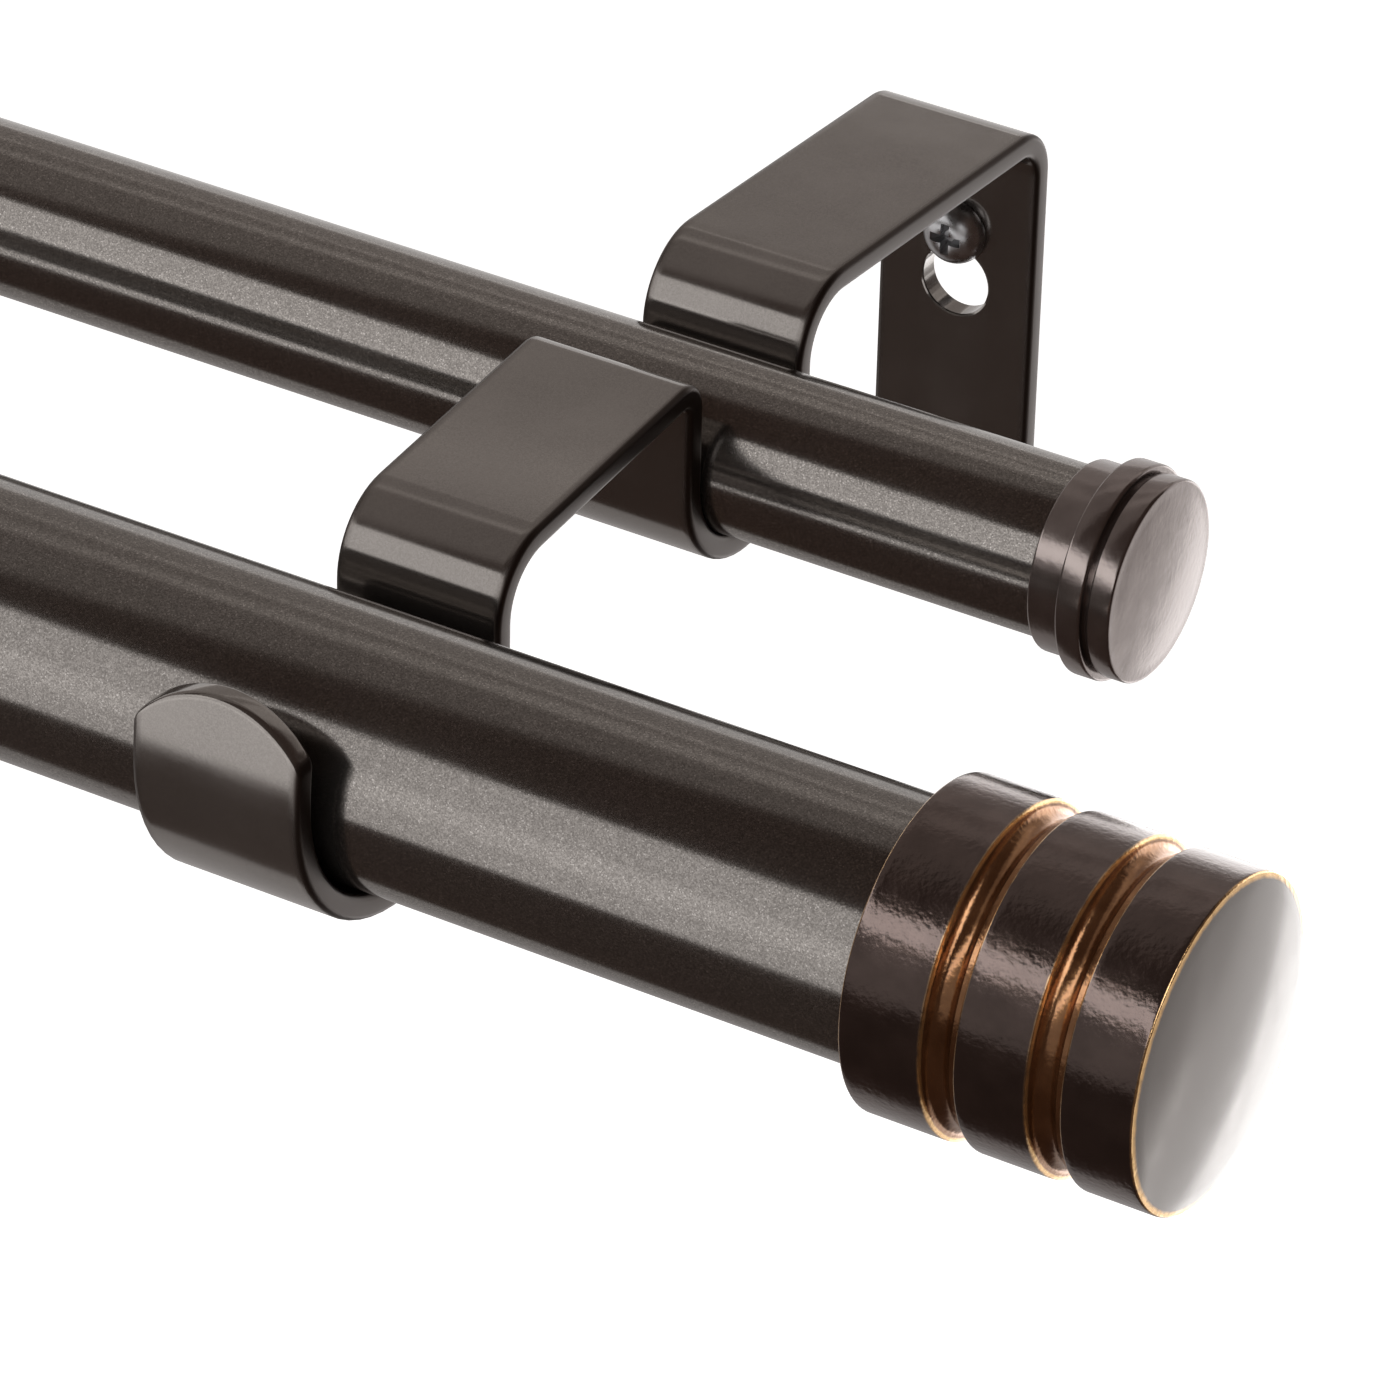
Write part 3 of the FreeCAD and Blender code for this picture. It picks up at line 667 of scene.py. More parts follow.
def slot_cutter(x, low_z, high_z, half_width):
    """A straight slot: a rectangle drawn through the plate, wider at the rims."""
    stations = flare(half_width)
    deselect_all()
    bpy.ops.mesh.primitive_plane_add(size=1.0, location=(x, stations[0][0], (low_z + high_z) / 2),
                                     rotation=(math.pi / 2, 0, 0))
    bpy.context.object.scale = (2 * stations[0][1], high_z - low_z, 1)
    cutter = take_primitive("cutter")
    bpy.ops.object.mode_set(mode="EDIT")
    bpy.ops.mesh.select_all(action="SELECT")
    for (place, width), (next_place, next_width) in zip(stations, stations[1:]):
        bpy.ops.mesh.extrude_region_move(TRANSFORM_OT_translate={"value": (0, next_place - place, 0)})
        bpy.ops.transform.resize(value=(next_width / width, 1, 1), center_override=(x, next_place, 0))
    bpy.ops.object.mode_set(mode="OBJECT")
    return cutter


def cut_with(piece, cutter):
    """Takes the cutter's shape out of the piece and removes the cutter."""
    make_current(cutter)
    bpy.ops.object.mode_set(mode="EDIT")
    bpy.ops.mesh.select_all(action="SELECT")
    bpy.ops.mesh.normals_make_consistent(inside=False)
    bpy.ops.object.mode_set(mode="OBJECT")
    before = len(piece.data.polygons)
    boolean = piece.modifiers.new("cut", "BOOLEAN")
    boolean.operation = "DIFFERENCE"
    boolean.solver = "EXACT"
    boolean.object = cutter
    apply_modifiers(piece)
    bpy.data.objects.remove(cutter, do_unlink=True)
    print(f"{piece.name}: cut, {before} faces became {len(piece.data.polygons)}")


# %% [markdown]
# The holes leave long thin faces on the flat plate. If these were shaded smooth with the rims of
# the holes, the plate would seem to bulge below the keyhole. So the shading is smooth only up to
# a small angle, which the round edges and the bends stay under and the rims don't.

# %% Building both brackets
SMOOTH_ANGLE = 20.0
SCREW_PITCH = 32.0 * MM
SHANK_HOLE_R, HEAD_HOLE_R = 2.2 * MM, 4.2 * MM
KEYHOLE_DROP = 6.6 * MM
SIDE_VALUE, SIDE_FADE = 1.7, 1.4


def pierce_plate(piece, x):
    upper, lower = SCREW_PITCH / 2, -SCREW_PITCH / 2
    cut_with(piece, round_cutter(x, lower, SHANK_HOLE_R))
    cut_with(piece, slot_cutter(x, upper - KEYHOLE_DROP, upper, SHANK_HOLE_R))
    cut_with(piece, round_cutter(x, upper, SHANK_HOLE_R))
    cut_with(piece, round_cutter(x, upper - KEYHOLE_DROP, HEAD_HOLE_R))


def mark_sides(piece, x):
    """Writes the point attribute cut_side: 1 on the strip's sheared sides, 0 on its faces."""
    sheared = piece.data.attributes.new("cut_side", "FLOAT", "POINT")
    for vertex in piece.data.vertices:
        inside = STRIP_WIDTH / 2 - abs(vertex.co.x - x)
        sheared.data[vertex.index].value = held(SIDE_VALUE - SIDE_FADE * inside / STRIP_EASE)


def make_bracket(side_name):
    node = f"{side_name}_bracket"
    low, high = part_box(node)
    x = (low.x + high.x) / 2
    piece, tongue_y, levels = fold_strip(f"{side_name}_folded_strip", x, low.z)
    shape_ends(piece, x, low.z, tongue_y, levels)
    tidy_mesh(piece, smooth_angle=SMOOTH_ANGLE)
    pierce_plate(piece, x)
    make_current(piece)
    bpy.ops.object.shade_smooth_by_angle(angle=math.radians(SMOOTH_ANGLE))
    mark_sides(piece, x)
    stand_for(piece, node, "root")
    return piece


brackets = [make_bracket("right"), make_bracket("left")]

# %% [markdown]
# ## The wall screws
#
# Four pan-head wood screws hold the brackets. The head is a low dome on a short side, and below
# it come a plain neck, the core and the tip. All of that is turned in one profile. The cross
# could be a dark picture on the head, but a recess has to shade itself, so two crossing bars
# that narrow towards their floor are cut out of it.

# %% Turning the screw and cutting its cross
HEAD_R, HEAD_HEIGHT, HEAD_SIDE = 3.8 * MM, 2.6 * MM, 0.6 * MM
HEAD_BOW, HEAD_EASE = 0.30 * HEAD_R, 0.2 * MM
NECK_R, CORE_R, NECK_CONE = 1.6 * MM, 1.35 * MM, 0.5 * MM
NECK_LENGTH = STRIP_THICKNESS + SEAT_GAP
SCREW_LENGTH, SCREW_POINT = 20.0 * MM, 4.0 * MM
CROSS_LENGTH, CROSS_WIDTH, CROSS_DEPTH = 4.2 * MM, 1.1 * MM, 1.5 * MM
CROSS_ABOVE, LENGTH_TAPER, WIDTH_TAPER = 0.5 * MM, 0.45, 0.75


def screw_profile():
    top, side = (-HEAD_HEIGHT, 0), (-HEAD_SIDE, HEAD_R)
    under = eased([side, (0, HEAD_R, HEAD_EASE), (0, NECK_R), (NECK_LENGTH, NECK_R),
                   (NECK_LENGTH + NECK_CONE, CORE_R), (SCREW_LENGTH - SCREW_POINT, CORE_R),
                   (SCREW_LENGTH, 0)])
    return [top] + bowed(top, side, HEAD_BOW, steps=12) + under


def cross_cutter(base, turned):
    """A bar that narrows towards its floor, as the wing of a cross recess does."""
    sizes, narrow = (CROSS_LENGTH, CROSS_WIDTH), (LENGTH_TAPER, WIDTH_TAPER)
    if turned:
        sizes, narrow = sizes[::-1], narrow[::-1]
    top, floor = -HEAD_HEIGHT - CROSS_ABOVE, -HEAD_HEIGHT + CROSS_DEPTH
    deselect_all()
    bpy.ops.mesh.primitive_plane_add(size=1.0, location=base + Vector((0, top, 0)),
                                     rotation=(math.pi / 2, 0, 0))
    bpy.context.object.scale = (*sizes, 1)
    cutter = take_primitive("cutter")
    bpy.ops.object.mode_set(mode="EDIT")
    bpy.ops.mesh.select_all(action="SELECT")
    bpy.ops.mesh.extrude_region_move(TRANSFORM_OT_translate={"value": (0, floor - top, 0)})
    bpy.ops.transform.resize(value=(narrow[0], 1, narrow[1]), center_override=base + Vector((0, floor, 0)))
    bpy.ops.object.mode_set(mode="OBJECT")
    return cutter


# %% [markdown]
# The thread is one small ridge wound round the core. Each turn could be modelled by hand, but
# the Screw modifier winds a three-sided section along the shank, which is quicker and cleaner.
# The ridge then narrows to the tip with the core.

# %% Winding the thread
THREAD_R, THREAD_PITCH, THREAD_STEPS = 2.0 * MM, 1.8 * MM, 28
THREAD_START, THREAD_STOP = NECK_LENGTH + 1.2 * MM, SCREW_LENGTH - 0.6 * MM
THREAD_TURNS = int((THREAD_STOP - THREAD_START) / THREAD_PITCH)
RIDGE_FOOT, RIDGE_HALF = CORE_R - 0.1 * MM, 0.45 * MM
TIP_CLEAR = 0.2 * MM


def start_ridge(base):
    """The three-sided section of the ridge, beside the core at the thread's start."""
    deselect_all()
    beside = base + Vector((CORE_R, THREAD_START, 0))
    bpy.ops.mesh.primitive_circle_add(vertices=3, radius=RIDGE_HALF, location=beside)
    ridge = take_primitive("thread")
    corners = ((RIDGE_FOOT, -RIDGE_HALF), (THREAD_R, 0.0), (RIDGE_FOOT, RIDGE_HALF))
    for vertex, (out, along) in zip(ridge.data.vertices, corners):
        vertex.co = base + Vector((out, THREAD_START + along, 0))
    return ridge


def make_thread(base):
    ridge = start_ridge(base)
    pivot = bpy.data.objects.new("thread_axis", None)
    bpy.context.collection.objects.link(pivot)
    pivot.location = base
    winding = ridge.modifiers.new("winding", "SCREW")
    winding.object = pivot
    winding.axis = "Y"
    winding.angle = math.tau
    winding.screw_offset = THREAD_PITCH
    winding.iterations = THREAD_TURNS
    winding.steps = winding.render_steps = THREAD_STEPS
    apply_modifiers(ridge)
    bpy.data.objects.remove(pivot, do_unlink=True)
    for vertex in ridge.data.vertices:
        offset = vertex.co - base
        fade = held((SCREW_LENGTH - offset.y) / SCREW_POINT)
        along = min(offset.y, SCREW_LENGTH - TIP_CLEAR)
        vertex.co = base + Vector((offset.x * fade, along, offset.z * fade))
    return ridge


def make_screw(node):
    low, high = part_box(node)
    base = Vector(((low.x + high.x) / 2, high.y - SCREW_LENGTH, (low.z + high.z) / 2))
    name = node.replace("_screw", "_wood_screw")
    piece = draw_turned(name, base, Vector((0, 1, 0)), screw_profile(), sides=48)
    for turned in (False, True):
        cut_with(piece, cross_cutter(base, turned))
    thread = make_thread(base)
    make_current(piece)
    thread.select_set(True)
    bpy.ops.object.join()
    tidy_mesh(piece)
    stand_for(piece, node, "root")
    return piece


screws = [make_screw(f"{side_name}_{level_name}_screw")
          for side_name in ("right", "left") for level_name in ("upper", "lower")]

# %% [markdown]
# ## Finishes
#
# Every finish is a Principled shader. It could be fed by pictures wrapped round the metal, but
# small patterns on Object coordinates need no unwrapping, have no seam and stay on the metal when
# a pole slides. One helper starts a material, others add a noise, a ramp of colours or a range,
# and each finish below then reads as a short recipe.

# %% Starting a material
def start_material(name, metallic):
    material = bpy.data.materials.new(name)
    material.use_nodes = True
    tree = material.node_tree
    shader = next(node for node in tree.nodes if node.type == "BSDF_PRINCIPLED")
    shader.inputs["Metallic"].default_value = metallic
    place = tree.nodes.new("ShaderNodeTexCoord").outputs["Object"]
    return material, tree, shader, place


def add_noise(tree, place, scale, detail=2.0):
    noise = tree.nodes.new("ShaderNodeTexNoise")
    noise.inputs["Scale"].default_value = scale
    noise.inputs["Detail"].default_value = detail
    tree.links.new(place, noise.inputs["Vector"])
    return noise.outputs["Fac"]


def add_ramp(tree, value, *stops):
    """Colours (red, green, blue) at places along a value."""
    ramp = tree.nodes.new("ShaderNodeValToRGB")
    while len(ramp.color_ramp.elements) < len(stops):
        ramp.color_ramp.elements.new(0.5)
    for element, (place, colour) in zip(ramp.color_ramp.elements, stops):
        element.position = place
        element.color = (*colour, 1.0)
    tree.links.new(value, ramp.inputs["Fac"])
    return ramp.outputs["Color"]


# %% [markdown]
# A noise gives numbers between 0 and 1, nearly all of them between 0.3 and 0.7. For a roughness
# they have to be mapped on to a small range. A bump is given its real depth in metres, because a
# coat of paint is only some thousandths of a millimetre uneven.

# %% Ranges and bumps
NOISE_LOW, NOISE_HIGH = 0.3, 0.7


def spread(tree, value, low, high, new_low, new_high):
    """Maps a value from one range on to another, and holds it there."""
    mapping = tree.nodes.new("ShaderNodeMapRange")
    for name, number in (("From Min", low), ("From Max", high), ("To Min", new_low), ("To Max", new_high)):
        mapping.inputs[name].default_value = number
    tree.links.new(value, mapping.inputs["Value"])
    return mapping.outputs["Result"]


def wander(tree, noise, low, high):
    """A value that wanders between low and high with a noise."""
    return spread(tree, noise, NOISE_LOW, NOISE_HIGH, low, high)


def add_bump(tree, height, depth, strength, under=None):
    """Bump of a real depth in metres, on top of another bump if one is given."""
    bump = tree.nodes.new("ShaderNodeBump")
    bump.inputs["Distance"].default_value = depth
    bump.inputs["Strength"].default_value = strength
    tree.links.new(height, bump.inputs["Height"])
    if under is not None:
        tree.links.new(under, bump.inputs["Normal"])
    return bump.outputs["Normal"]


# %% [markdown]
# ### The poles: metallic paint
# The tubes are sprayed with a bronze-brown paint full of fine flakes. A plain metal would
# reflect the lights as clean bands. The flakes break them up, so each crystal cell gets its own
# brightness, a fine bump scatters the light, and a slower noise lets the roughness wander a
# little, as a sprayed coat does. The thin pole's paint is a lighter copy of the same paint: its
# lighter colour is painted light, standing in for the brighter light on the thin pole. The thin pole took a
# slightly lighter coat.

# %% Pole paint
FLAKE = 0.13 * MM
# How much lighter the thin pole's paint is made: painted light on the thin pole.
THIN_POLE_PAINTED_LIGHT = 1.12


def add_flakes(tree, place):
    """A random grey for each cell of a fine crystal pattern."""
    cells = tree.nodes.new("ShaderNodeTexVoronoi")
    cells.inputs["Scale"].default_value = 1 / FLAKE
    tree.links.new(place, cells.inputs["Vector"])
    grey = tree.nodes.new("ShaderNodeSeparateColor")
    tree.links.new(cells.outputs["Color"], grey.inputs["Color"])
    return grey.outputs[0]


def toned(tone, *colour):
    return tuple(tone * value for value in colour)


def pole_paint(name, tone):
    material, tree, shader, place = start_material(name, metallic=0.92)
    colour = add_ramp(tree, add_flakes(tree, place),
                      (0.0, toned(tone, 0.150, 0.138, 0.128)), (0.5, toned(tone, 0.218, 0.202, 0.189)),
                      (0.95, toned(tone, 0.290, 0.270, 0.253)), (1.0, toned(tone, 0.42, 0.395, 0.375)))
    tree.links.new(colour, shader.inputs["Base Color"])
    tree.links.new(wander(tree, add_noise(tree, place, 60.0), 0.13, 0.165), shader.inputs["Roughness"])
    grain = add_bump(tree, add_noise(tree, place, 4500.0), 0.004 * MM, 0.8)
    peel = add_bump(tree, add_noise(tree, place, 600.0), 0.004 * MM, 0.3, under=grain)
    tree.links.new(peel, shader.inputs["Normal"])
    return material


# %% [markdown]
# Where two finishes meet on one piece, faces could be given different materials, but then the
# border would be a hard line along the mesh. A number that the mesh carries at its points fades
# from one finish to the other instead.

# %% Blending by a number
def read_attribute(tree, name):
    """A number that the mesh carries at its points."""
    reader = tree.nodes.new("ShaderNodeAttribute")
    reader.attribute_type = "GEOMETRY"
    reader.attribute_name = name
    return reader.outputs["Fac"]


def blend_colours(tree, amount, first, second):
    mix = tree.nodes.new("ShaderNodeMix")
    mix.data_type = "RGBA"
    tree.links.new(amount, mix.inputs["Factor"])
    for colour, socket in ((first, mix.inputs[6]), (second, mix.inputs[7])):
        if isinstance(colour, tuple):
            socket.default_value = (*colour, 1.0)
        else:
            tree.links.new(colour, socket)
    return mix.outputs[2]


def combine(tree, operation, first, second):
    math_node = tree.nodes.new("ShaderNodeMath")
    math_node.operation = operation
    for value, socket in ((first, math_node.inputs[0]), (second, math_node.inputs[1])):
        if isinstance(value, float):
            socket.default_value = value
        else:
            tree.links.new(value, socket)
    return math_node.outputs[0]


# %% [markdown]
# ### The brackets: powder coat
#
# The strips have a smoother coat of the same brown. It could be the poles' paint, but it is a
# powder coat: its flakes show only faintly, in patches, and its surface has the soft waves of
# orange peel. The strip is sheared from sheet, and on its sheared sides the coat is thin and
# dull, so a point attribute roughens them. The same attribute also darkens their colour, which
# is painted shade on the sides.

# %% Bracket coat
# Colour of the sheared sides: painted shade, much darker than the faces.
SHEARED_SIDE_SHADE = (0.055, 0.042, 0.036)
SHEARED_DULLNESS = 0.26


def bracket_coat():
    material, tree, shader, place = start_material("bracket_coat", metallic=0.88)
    patches = add_noise(tree, place, 120.0, detail=4.0)
    grain = blend_colours(tree, add_flakes(tree, place), (0.222, 0.205, 0.192), (0.305, 0.284, 0.267))
    worn = add_ramp(tree, patches, (0.3, (0.245, 0.226, 0.212)), (0.7, (0.290, 0.269, 0.253)))
    face = blend_colours(tree, patches, grain, worn)
    sheared = read_attribute(tree, "cut_side")
    # The sheared sides get the painted shade colour here.
    tree.links.new(blend_colours(tree, sheared, face, SHEARED_SIDE_SHADE), shader.inputs["Base Color"])
    dulled = combine(tree, "MULTIPLY", sheared, SHEARED_DULLNESS)
    roughness = combine(tree, "ADD", wander(tree, patches, 0.11, 0.15), dulled)
    tree.links.new(roughness, shader.inputs["Roughness"])
    waves = add_bump(tree, add_noise(tree, place, 420.0), 0.006 * MM, 0.5)
    dust = add_bump(tree, add_noise(tree, place, 5000.0), 0.001 * MM, 0.7, under=waves)
    tree.links.new(dust, shader.inputs["Normal"])
    return material


# %% [markdown]
# ### The finials: rubbed bronze
#
# The lands are nearly black and glossy with a finely hammered skin, the end face is smoother
# and paler, the coves show brown copper, and the sharp edges are rubbed through to gold. Each
# could be a material of its own, but hand rubbing has no hard borders. So the point attributes
# say where each colour goes, and a noise breaks the borders up.

# %% Finial bronze
FACE_COLOUR, GOLD = (0.190, 0.172, 0.160), (0.80, 0.50, 0.22)
FACE_HAMMERING = 0.03


def finial_bronze():
    material, tree, shader, place = start_material("finial_bronze", metallic=0.9)
    shader.inputs["Coat Weight"].default_value = 0.25
    shader.inputs["Coat Roughness"].default_value = 0.12
    blotches = add_noise(tree, place, 260.0, detail=4.0)
    dark = add_ramp(tree, blotches, (0.35, (0.116, 0.086, 0.077)), (0.65, (0.150, 0.112, 0.100)))
    copper = add_ramp(tree, blotches, (0.3, (0.23, 0.108, 0.048)), (0.7, (0.40, 0.205, 0.098)))
    on_face = read_attribute(tree, "end_face")
    lands = blend_colours(tree, on_face, dark, FACE_COLOUR)
    base = blend_colours(tree, read_attribute(tree, "cove"), lands, copper)
    uneven = spread(tree, add_noise(tree, place, 900.0, detail=3.0), 0.25, 0.65, 0.6, 1.25)
    rubbed = combine(tree, "MULTIPLY", read_attribute(tree, "rubbed"), uneven)
    gilded = blend_colours(tree, spread(tree, rubbed, 0.15, 0.75, 0.0, 1.0), base, GOLD)
    tree.links.new(gilded, shader.inputs["Base Color"])
    tree.links.new(wander(tree, blotches, 0.15, 0.22), shader.inputs["Roughness"])
    dents = add_noise(tree, place, 1500.0, detail=3.0)
    hammered = combine(tree, "MULTIPLY", dents, spread(tree, on_face, 0.0, 1.0, 1.0, FACE_HAMMERING))
    peel = add_bump(tree, hammered, 0.070 * MM, 0.6)
    grain = add_bump(tree, add_noise(tree, place, 4200.0), 0.004 * MM, 0.6, under=peel)
    tree.links.new(grain, shader.inputs["Normal"])
    return material


# %% [markdown]
# ### The caps: gloss paint
#
# The caps have the finial's gloss in the pole's brown, without rubbed edges. The pole's paint
# would be too even here, so the peel is deeper and breaks the reflections up.

# %% Cap paint
def cap_paint():
    material, tree, shader, place = start_material("cap_paint", metallic=0.88)
    patches = add_noise(tree, place, 300.0, detail=4.0)
    colour = add_ramp(tree, patches, (0.3, (0.220, 0.186, 0.175)), (0.7, (0.275, 0.236, 0.223)))
    tree.links.new(colour, shader.inputs["Base Color"])
    tree.links.new(wander(tree, patches, 0.16, 0.23), shader.inputs["Roughness"])
    peel = add_bump(tree, add_noise(tree, place, 1400.0, detail=3.0), 0.030 * MM, 0.5)
    grain = add_bump(tree, add_noise(tree, place, 4500.0), 0.002 * MM, 0.6, under=peel)
    tree.links.new(grain, shader.inputs["Normal"])
    return material


# %% [markdown]
# ### The screws and the nylon
#
# The screws are zinc plated and stained, with scratches that run along one way. The plugs and
# glides are plain black nylon. They could be modelled again too, but little of them shows, so
# they keep their CAD shape and get only a finish.

# %% Zinc and nylon
def screw_zinc():
    material, tree, shader, place = start_material("screw_zinc", metallic=1.0)
    stain = add_noise(tree, place, 500.0, detail=5.0)
    colour = add_ramp(tree, stain, (0.3, (0.36, 0.36, 0.37)), (0.7, (0.62, 0.62, 0.63)))
    tree.links.new(colour, shader.inputs["Base Color"])
    tree.links.new(wander(tree, stain, 0.22, 0.4), shader.inputs["Roughness"])
    stretched = tree.nodes.new("ShaderNodeMapping")
    stretched.inputs["Scale"].default_value = (1.0, 9.0, 3.0)
    tree.links.new(place, stretched.inputs["Vector"])
    scratches = add_noise(tree, stretched.outputs["Vector"], 1500.0, detail=6.0)
    tree.links.new(add_bump(tree, scratches, 0.006 * MM, 0.7), shader.inputs["Normal"])
    return material


def black_nylon():
    material, tree, shader, place = start_material("black_nylon", metallic=0.0)
    cloud = add_noise(tree, place, 200.0, detail=4.0)
    colour = add_ramp(tree, cloud, (0.3, (0.012, 0.012, 0.012)), (0.7, (0.022, 0.021, 0.020)))
    tree.links.new(colour, shader.inputs["Base Color"])
    tree.links.new(wander(tree, cloud, 0.42, 0.58), shader.inputs["Roughness"])
    tree.links.new(add_bump(tree, add_noise(tree, place, 2500.0), 0.008 * MM, 0.6), shader.inputs["Normal"])
    return material


# %% [markdown]
# A material could be put on as each piece is made, but one list shows at a glance which pieces
# share a finish, and a piece that was forgotten would be missed at once.

# %% Painting every piece
def paint(piece, material):
    piece.data.materials.clear()
    piece.data.materials.append(material)


thick_pole, thin_pole = (tubes[0], tubes[2]), (tubes[1], tubes[3])
finishes = [(pole_paint("thick_pole_paint", 1.0), thick_pole),
            (pole_paint("thin_pole_lit_paint", THIN_POLE_PAINTED_LIGHT), thin_pole),
            (bracket_coat(), brackets), (finial_bronze(), finials),
            (cap_paint(), caps), (screw_zinc(), screws)]
for material, pieces in finishes:
    for piece in pieces:
        paint(piece, material)
nylon = black_nylon()
for name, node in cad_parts.items():
    if name.endswith(("_plug", "_glide")):
        paint(node, nylon)
print("finishes:", ", ".join(material.name for material, _ in finishes), nylon.name)

# %% [markdown]
# ## The light
#
# Round metal is a mirror that squeezes the whole room into bands along the pole, so the light is
# set by what each band should reflect. A ring of lamps could be placed by eye, but here each
# softbox is as long as the poles and is given by the angles round them that it fills.

# %% Softboxes
scene = bpy.context.scene
finial_low, finial_high = (Vector(corner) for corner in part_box("front_right_finial"))
AIM = Vector((finial_low.x, (finial_low.y + finial_high.y) / 2, (finial_low.z + finial_high.z) / 2))
ROW_LENGTH, ROW_LEAN = 4.0, -0.4
WHITE, WARM = (1, 1, 1), (1.0, 0.960, 0.925)


def softbox(name, direction, distance, across, along, radiance, tint=WHITE):
    """An area light at a distance in a direction from the aim, with a given brightness of its face."""
    data = bpy.data.lights.new(name, "AREA")
    data.shape = "RECTANGLE"
    data.size, data.size_y = along, across
    data.energy = radiance * math.pi * along * across
    data.color = tint
    light = bpy.data.objects.new(name, data)
    scene.collection.objects.link(light)
    direction = direction.normalized()
    light.location = AIM + direction * distance
    light.rotation_euler = direction.to_track_quat("Z", "Y").to_euler()
    light.visible_camera = False
    return light


def lamp_row(name, low, high, distance, radiance, tint=WHITE):
    """A softbox that fills the angles from low to high round the poles.

    0 degrees is the room's side, 90 is overhead and 180 is the wall's side."""
    across = 2 * distance * math.tan(math.radians((high - low) / 2))
    turn = math.radians((low + high) / 2)
    direction = Vector((ROW_LEAN, -math.cos(turn), math.sin(turn)))
    return softbox(name, direction, distance, across, ROW_LENGTH, radiance, tint)


# %% [markdown]
# One wide softbox in front, with a brighter strip in its middle, makes the broad pale band on
# poles and brackets. Finials and caps would lose their darkness under it. They could be given
# darker paint, but then their own highlights would go too. So light linking keeps the wide
# lights off them and gives them narrow bright lamps of their own.

# %% The lamps in front
def light_only(lights, pieces, state):
    """Lights the named pieces alone (INCLUDE) or everything but them (EXCLUDE)."""
    for light in lights:
        group = bpy.data.collections.new(f"{light.name}_receivers")
        for piece in pieces:
            group.objects.link(piece)
        for entry in group.collection_objects:
            entry.light_linking.link_state = state
        light.light_linking.receiver_collection = group


wide_front = [lamp_row("front_softbox", -24, 42, 1.2, 1.15), lamp_row("front_strip", -4, 14, 1.1, 0.25)]
glow = lamp_row("end_glow", -8, 32, 1.2, 0.28)
finial_front = [lamp_row("finial_lamp", 32, 46, 1.2, 2.5), lamp_row("finial_back_lamp", 172, 205, 1.3, 1.3),
                softbox("finial_side_lamp", Vector((0.87, -0.2, 0.42)), 1.2, 0.6, 0.7, 3.2)]
light_only(wide_front, finials + caps, "EXCLUDE")
light_only([glow], finials + caps, "INCLUDE")
light_only(finial_front, finials, "INCLUDE")
light_only([lamp_row("cap_lamp", 17, 38, 1.2, 1.9)], caps, "INCLUDE")

# %% [markdown]
# Dim panels overhead and behind make the grey top, brighter towards the wall, and a low one
# lifts the underside. All between them stays dark and warm. Three panels low behind the right
# end light the flat ends from grey to white: one lamp would light them evenly, and a disc that
# is lit evenly looks like paper.

# %% The panels above, behind and below
PANELS = {  # angles from and to, distance, radiance, tint
    "top_panel": (92, 116, 1.3, 0.21, WARM),
    "upper_panel": (116, 137, 1.3, 0.28, WARM),
    "back_panel": (137, 164, 1.3, 0.36, WARM),
    "wall_panel": (164, 205, 1.3, 0.80, WHITE),
    "low_panel": (-150, -98, 1.3, 0.37, WHITE),
}
END_PANELS = {  # direction along x and y, radiance
    "end_panel_near": (0.66, 0.52, 0.56),
    "end_panel": (0.43, 0.73, 0.68),
    "end_panel_far": (0.12, 0.84, 1.9),
}
END_PANEL_DROP, END_PANEL_SIZE = -0.53, (0.9, 0.36)
for name, values in PANELS.items():
    lamp_row(name, *values)
for name, (toward_x, toward_y, radiance) in END_PANELS.items():
    softbox(name, Vector((toward_x, toward_y, END_PANEL_DROP)), 1.0, *END_PANEL_SIZE, radiance)

# %% [markdown]
# ## The room and the floor
#
# The photograph is on pure white, but a white room would be mirrored everywhere on the metal. So
# the camera sees white and the metal feels a dark warm room. The floor is far below, plain and
# pale, and casts no light of its own on the metal.

# %% World and floor
WARM_ROOM, PURE_WHITE = (0.065, 0.042, 0.033, 1), (1, 1, 1, 1)
FLOOR_DROP, FLOOR_SIZE = 0.8, 12.0

world = bpy.data.worlds.new("studio")
scene.world = world
world.use_nodes = True
tree = world.node_tree
tree.nodes.clear()
seen, felt = tree.nodes.new("ShaderNodeBackground"), tree.nodes.new("ShaderNodeBackground")
seen.inputs["Color"].default_value = PURE_WHITE
felt.inputs["Color"].default_value = WARM_ROOM
choose, rays = tree.nodes.new("ShaderNodeMixShader"), tree.nodes.new("ShaderNodeLightPath")
output = tree.nodes.new("ShaderNodeOutputWorld")
tree.links.new(rays.outputs["Is Camera Ray"], choose.inputs["Fac"])
tree.links.new(felt.outputs[0], choose.inputs[1])
tree.links.new(seen.outputs[0], choose.inputs[2])
tree.links.new(choose.outputs[0], output.inputs["Surface"])

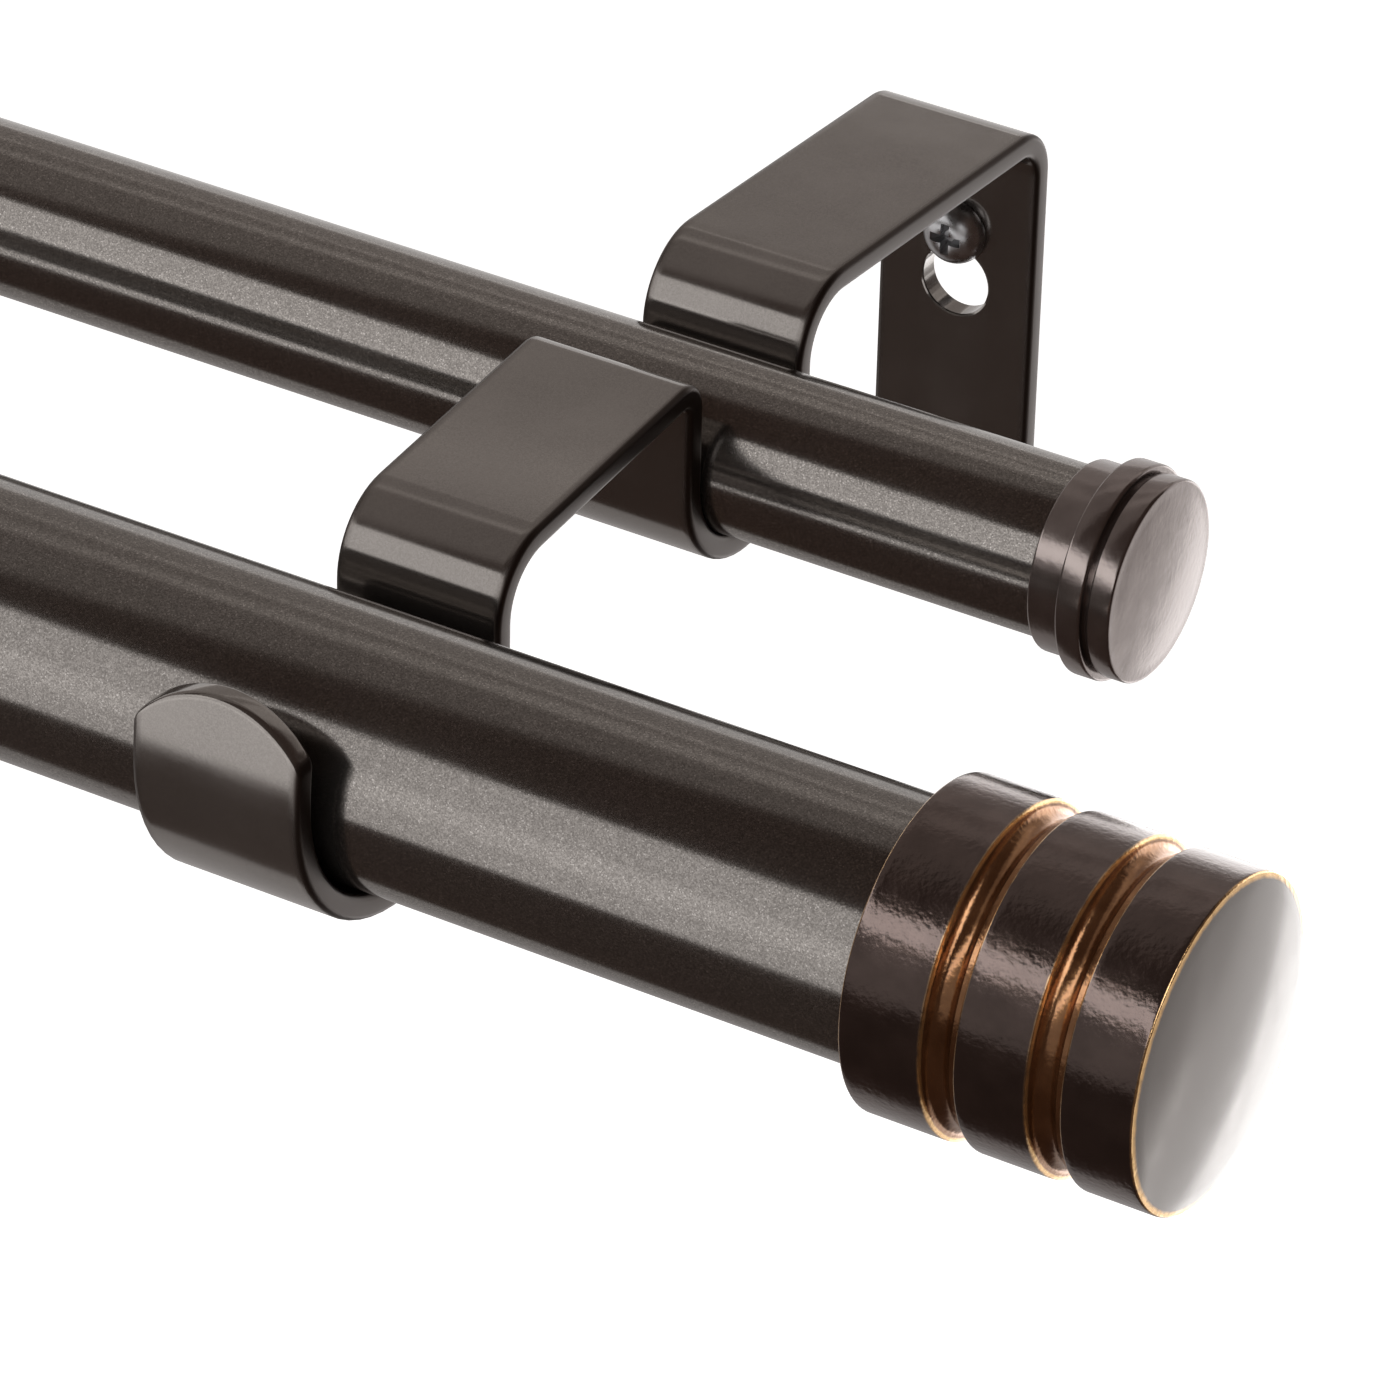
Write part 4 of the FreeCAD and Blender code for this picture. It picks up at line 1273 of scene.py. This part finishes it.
deselect_all()
bpy.ops.mesh.primitive_plane_add(size=FLOOR_SIZE, location=(0, 0, finial_low.z - FLOOR_DROP))
floor = bpy.context.object
floor.name = "floor"
floor_paint = bpy.data.materials.new("floor_paper")
floor_paint.use_nodes = True
paper = next(node for node in floor_paint.node_tree.nodes if node.type == "BSDF_PRINCIPLED")
paper.inputs["Base Color"].default_value = (0.8, 0.8, 0.8, 1)
paper.inputs["Roughness"].default_value = 0.9
paper.inputs["Emission Color"].default_value = PURE_WHITE
paper.inputs["Emission Strength"].default_value = 1.0
floor.data.materials.append(floor_paint)
floor.visible_glossy = False
floor.visible_diffuse = False
scene.view_settings.view_transform = "Standard"
print("floor at", round(floor.location.z, 3), "m")

# %% [markdown]
# ## The camera
#
# The photograph is taken from the right and from above, with a long lens, close to the right
# ends of the poles. The camera could be placed by eye, but a few degrees would move every
# highlight. It stands at the place from which the tubes' edges and ends line up with those in
# the photograph, and it is rolled by a small angle as the photograph is.

# %% The photograph's viewpoint
AZIMUTH, ELEVATION, ROLL = math.radians(30.5), math.radians(32.0), math.radians(1.5)
FROM_RIM = Vector((0.30930, -0.57006, 0.43218))
LENS, SENSOR = 205.7, 36.0


def photo_camera():
    data = bpy.data.cameras.new("photo_camera")
    data.lens = LENS
    data.sensor_width = SENSOR
    camera = bpy.data.objects.new("photo_camera", data)
    scene.collection.objects.link(camera)
    back = Vector((math.sin(AZIMUTH) * math.cos(ELEVATION), -math.cos(AZIMUTH) * math.cos(ELEVATION),
                   math.sin(ELEVATION)))
    level_right = Vector((math.cos(AZIMUTH), math.sin(AZIMUTH), 0))
    level_up = back.cross(level_right)
    right = level_right * math.cos(ROLL) + level_up * math.sin(ROLL)
    up = level_up * math.cos(ROLL) - level_right * math.sin(ROLL)
    turned = camera.matrix_world.to_3x3()
    turned.col[0], turned.col[1], turned.col[2] = right, up, back
    camera.matrix_world = turned.to_4x4()
    camera.location = AIM + FROM_RIM
    return camera


scene.camera = photo_camera()
print("camera at", tuple(round(value, 3) for value in scene.camera.location))
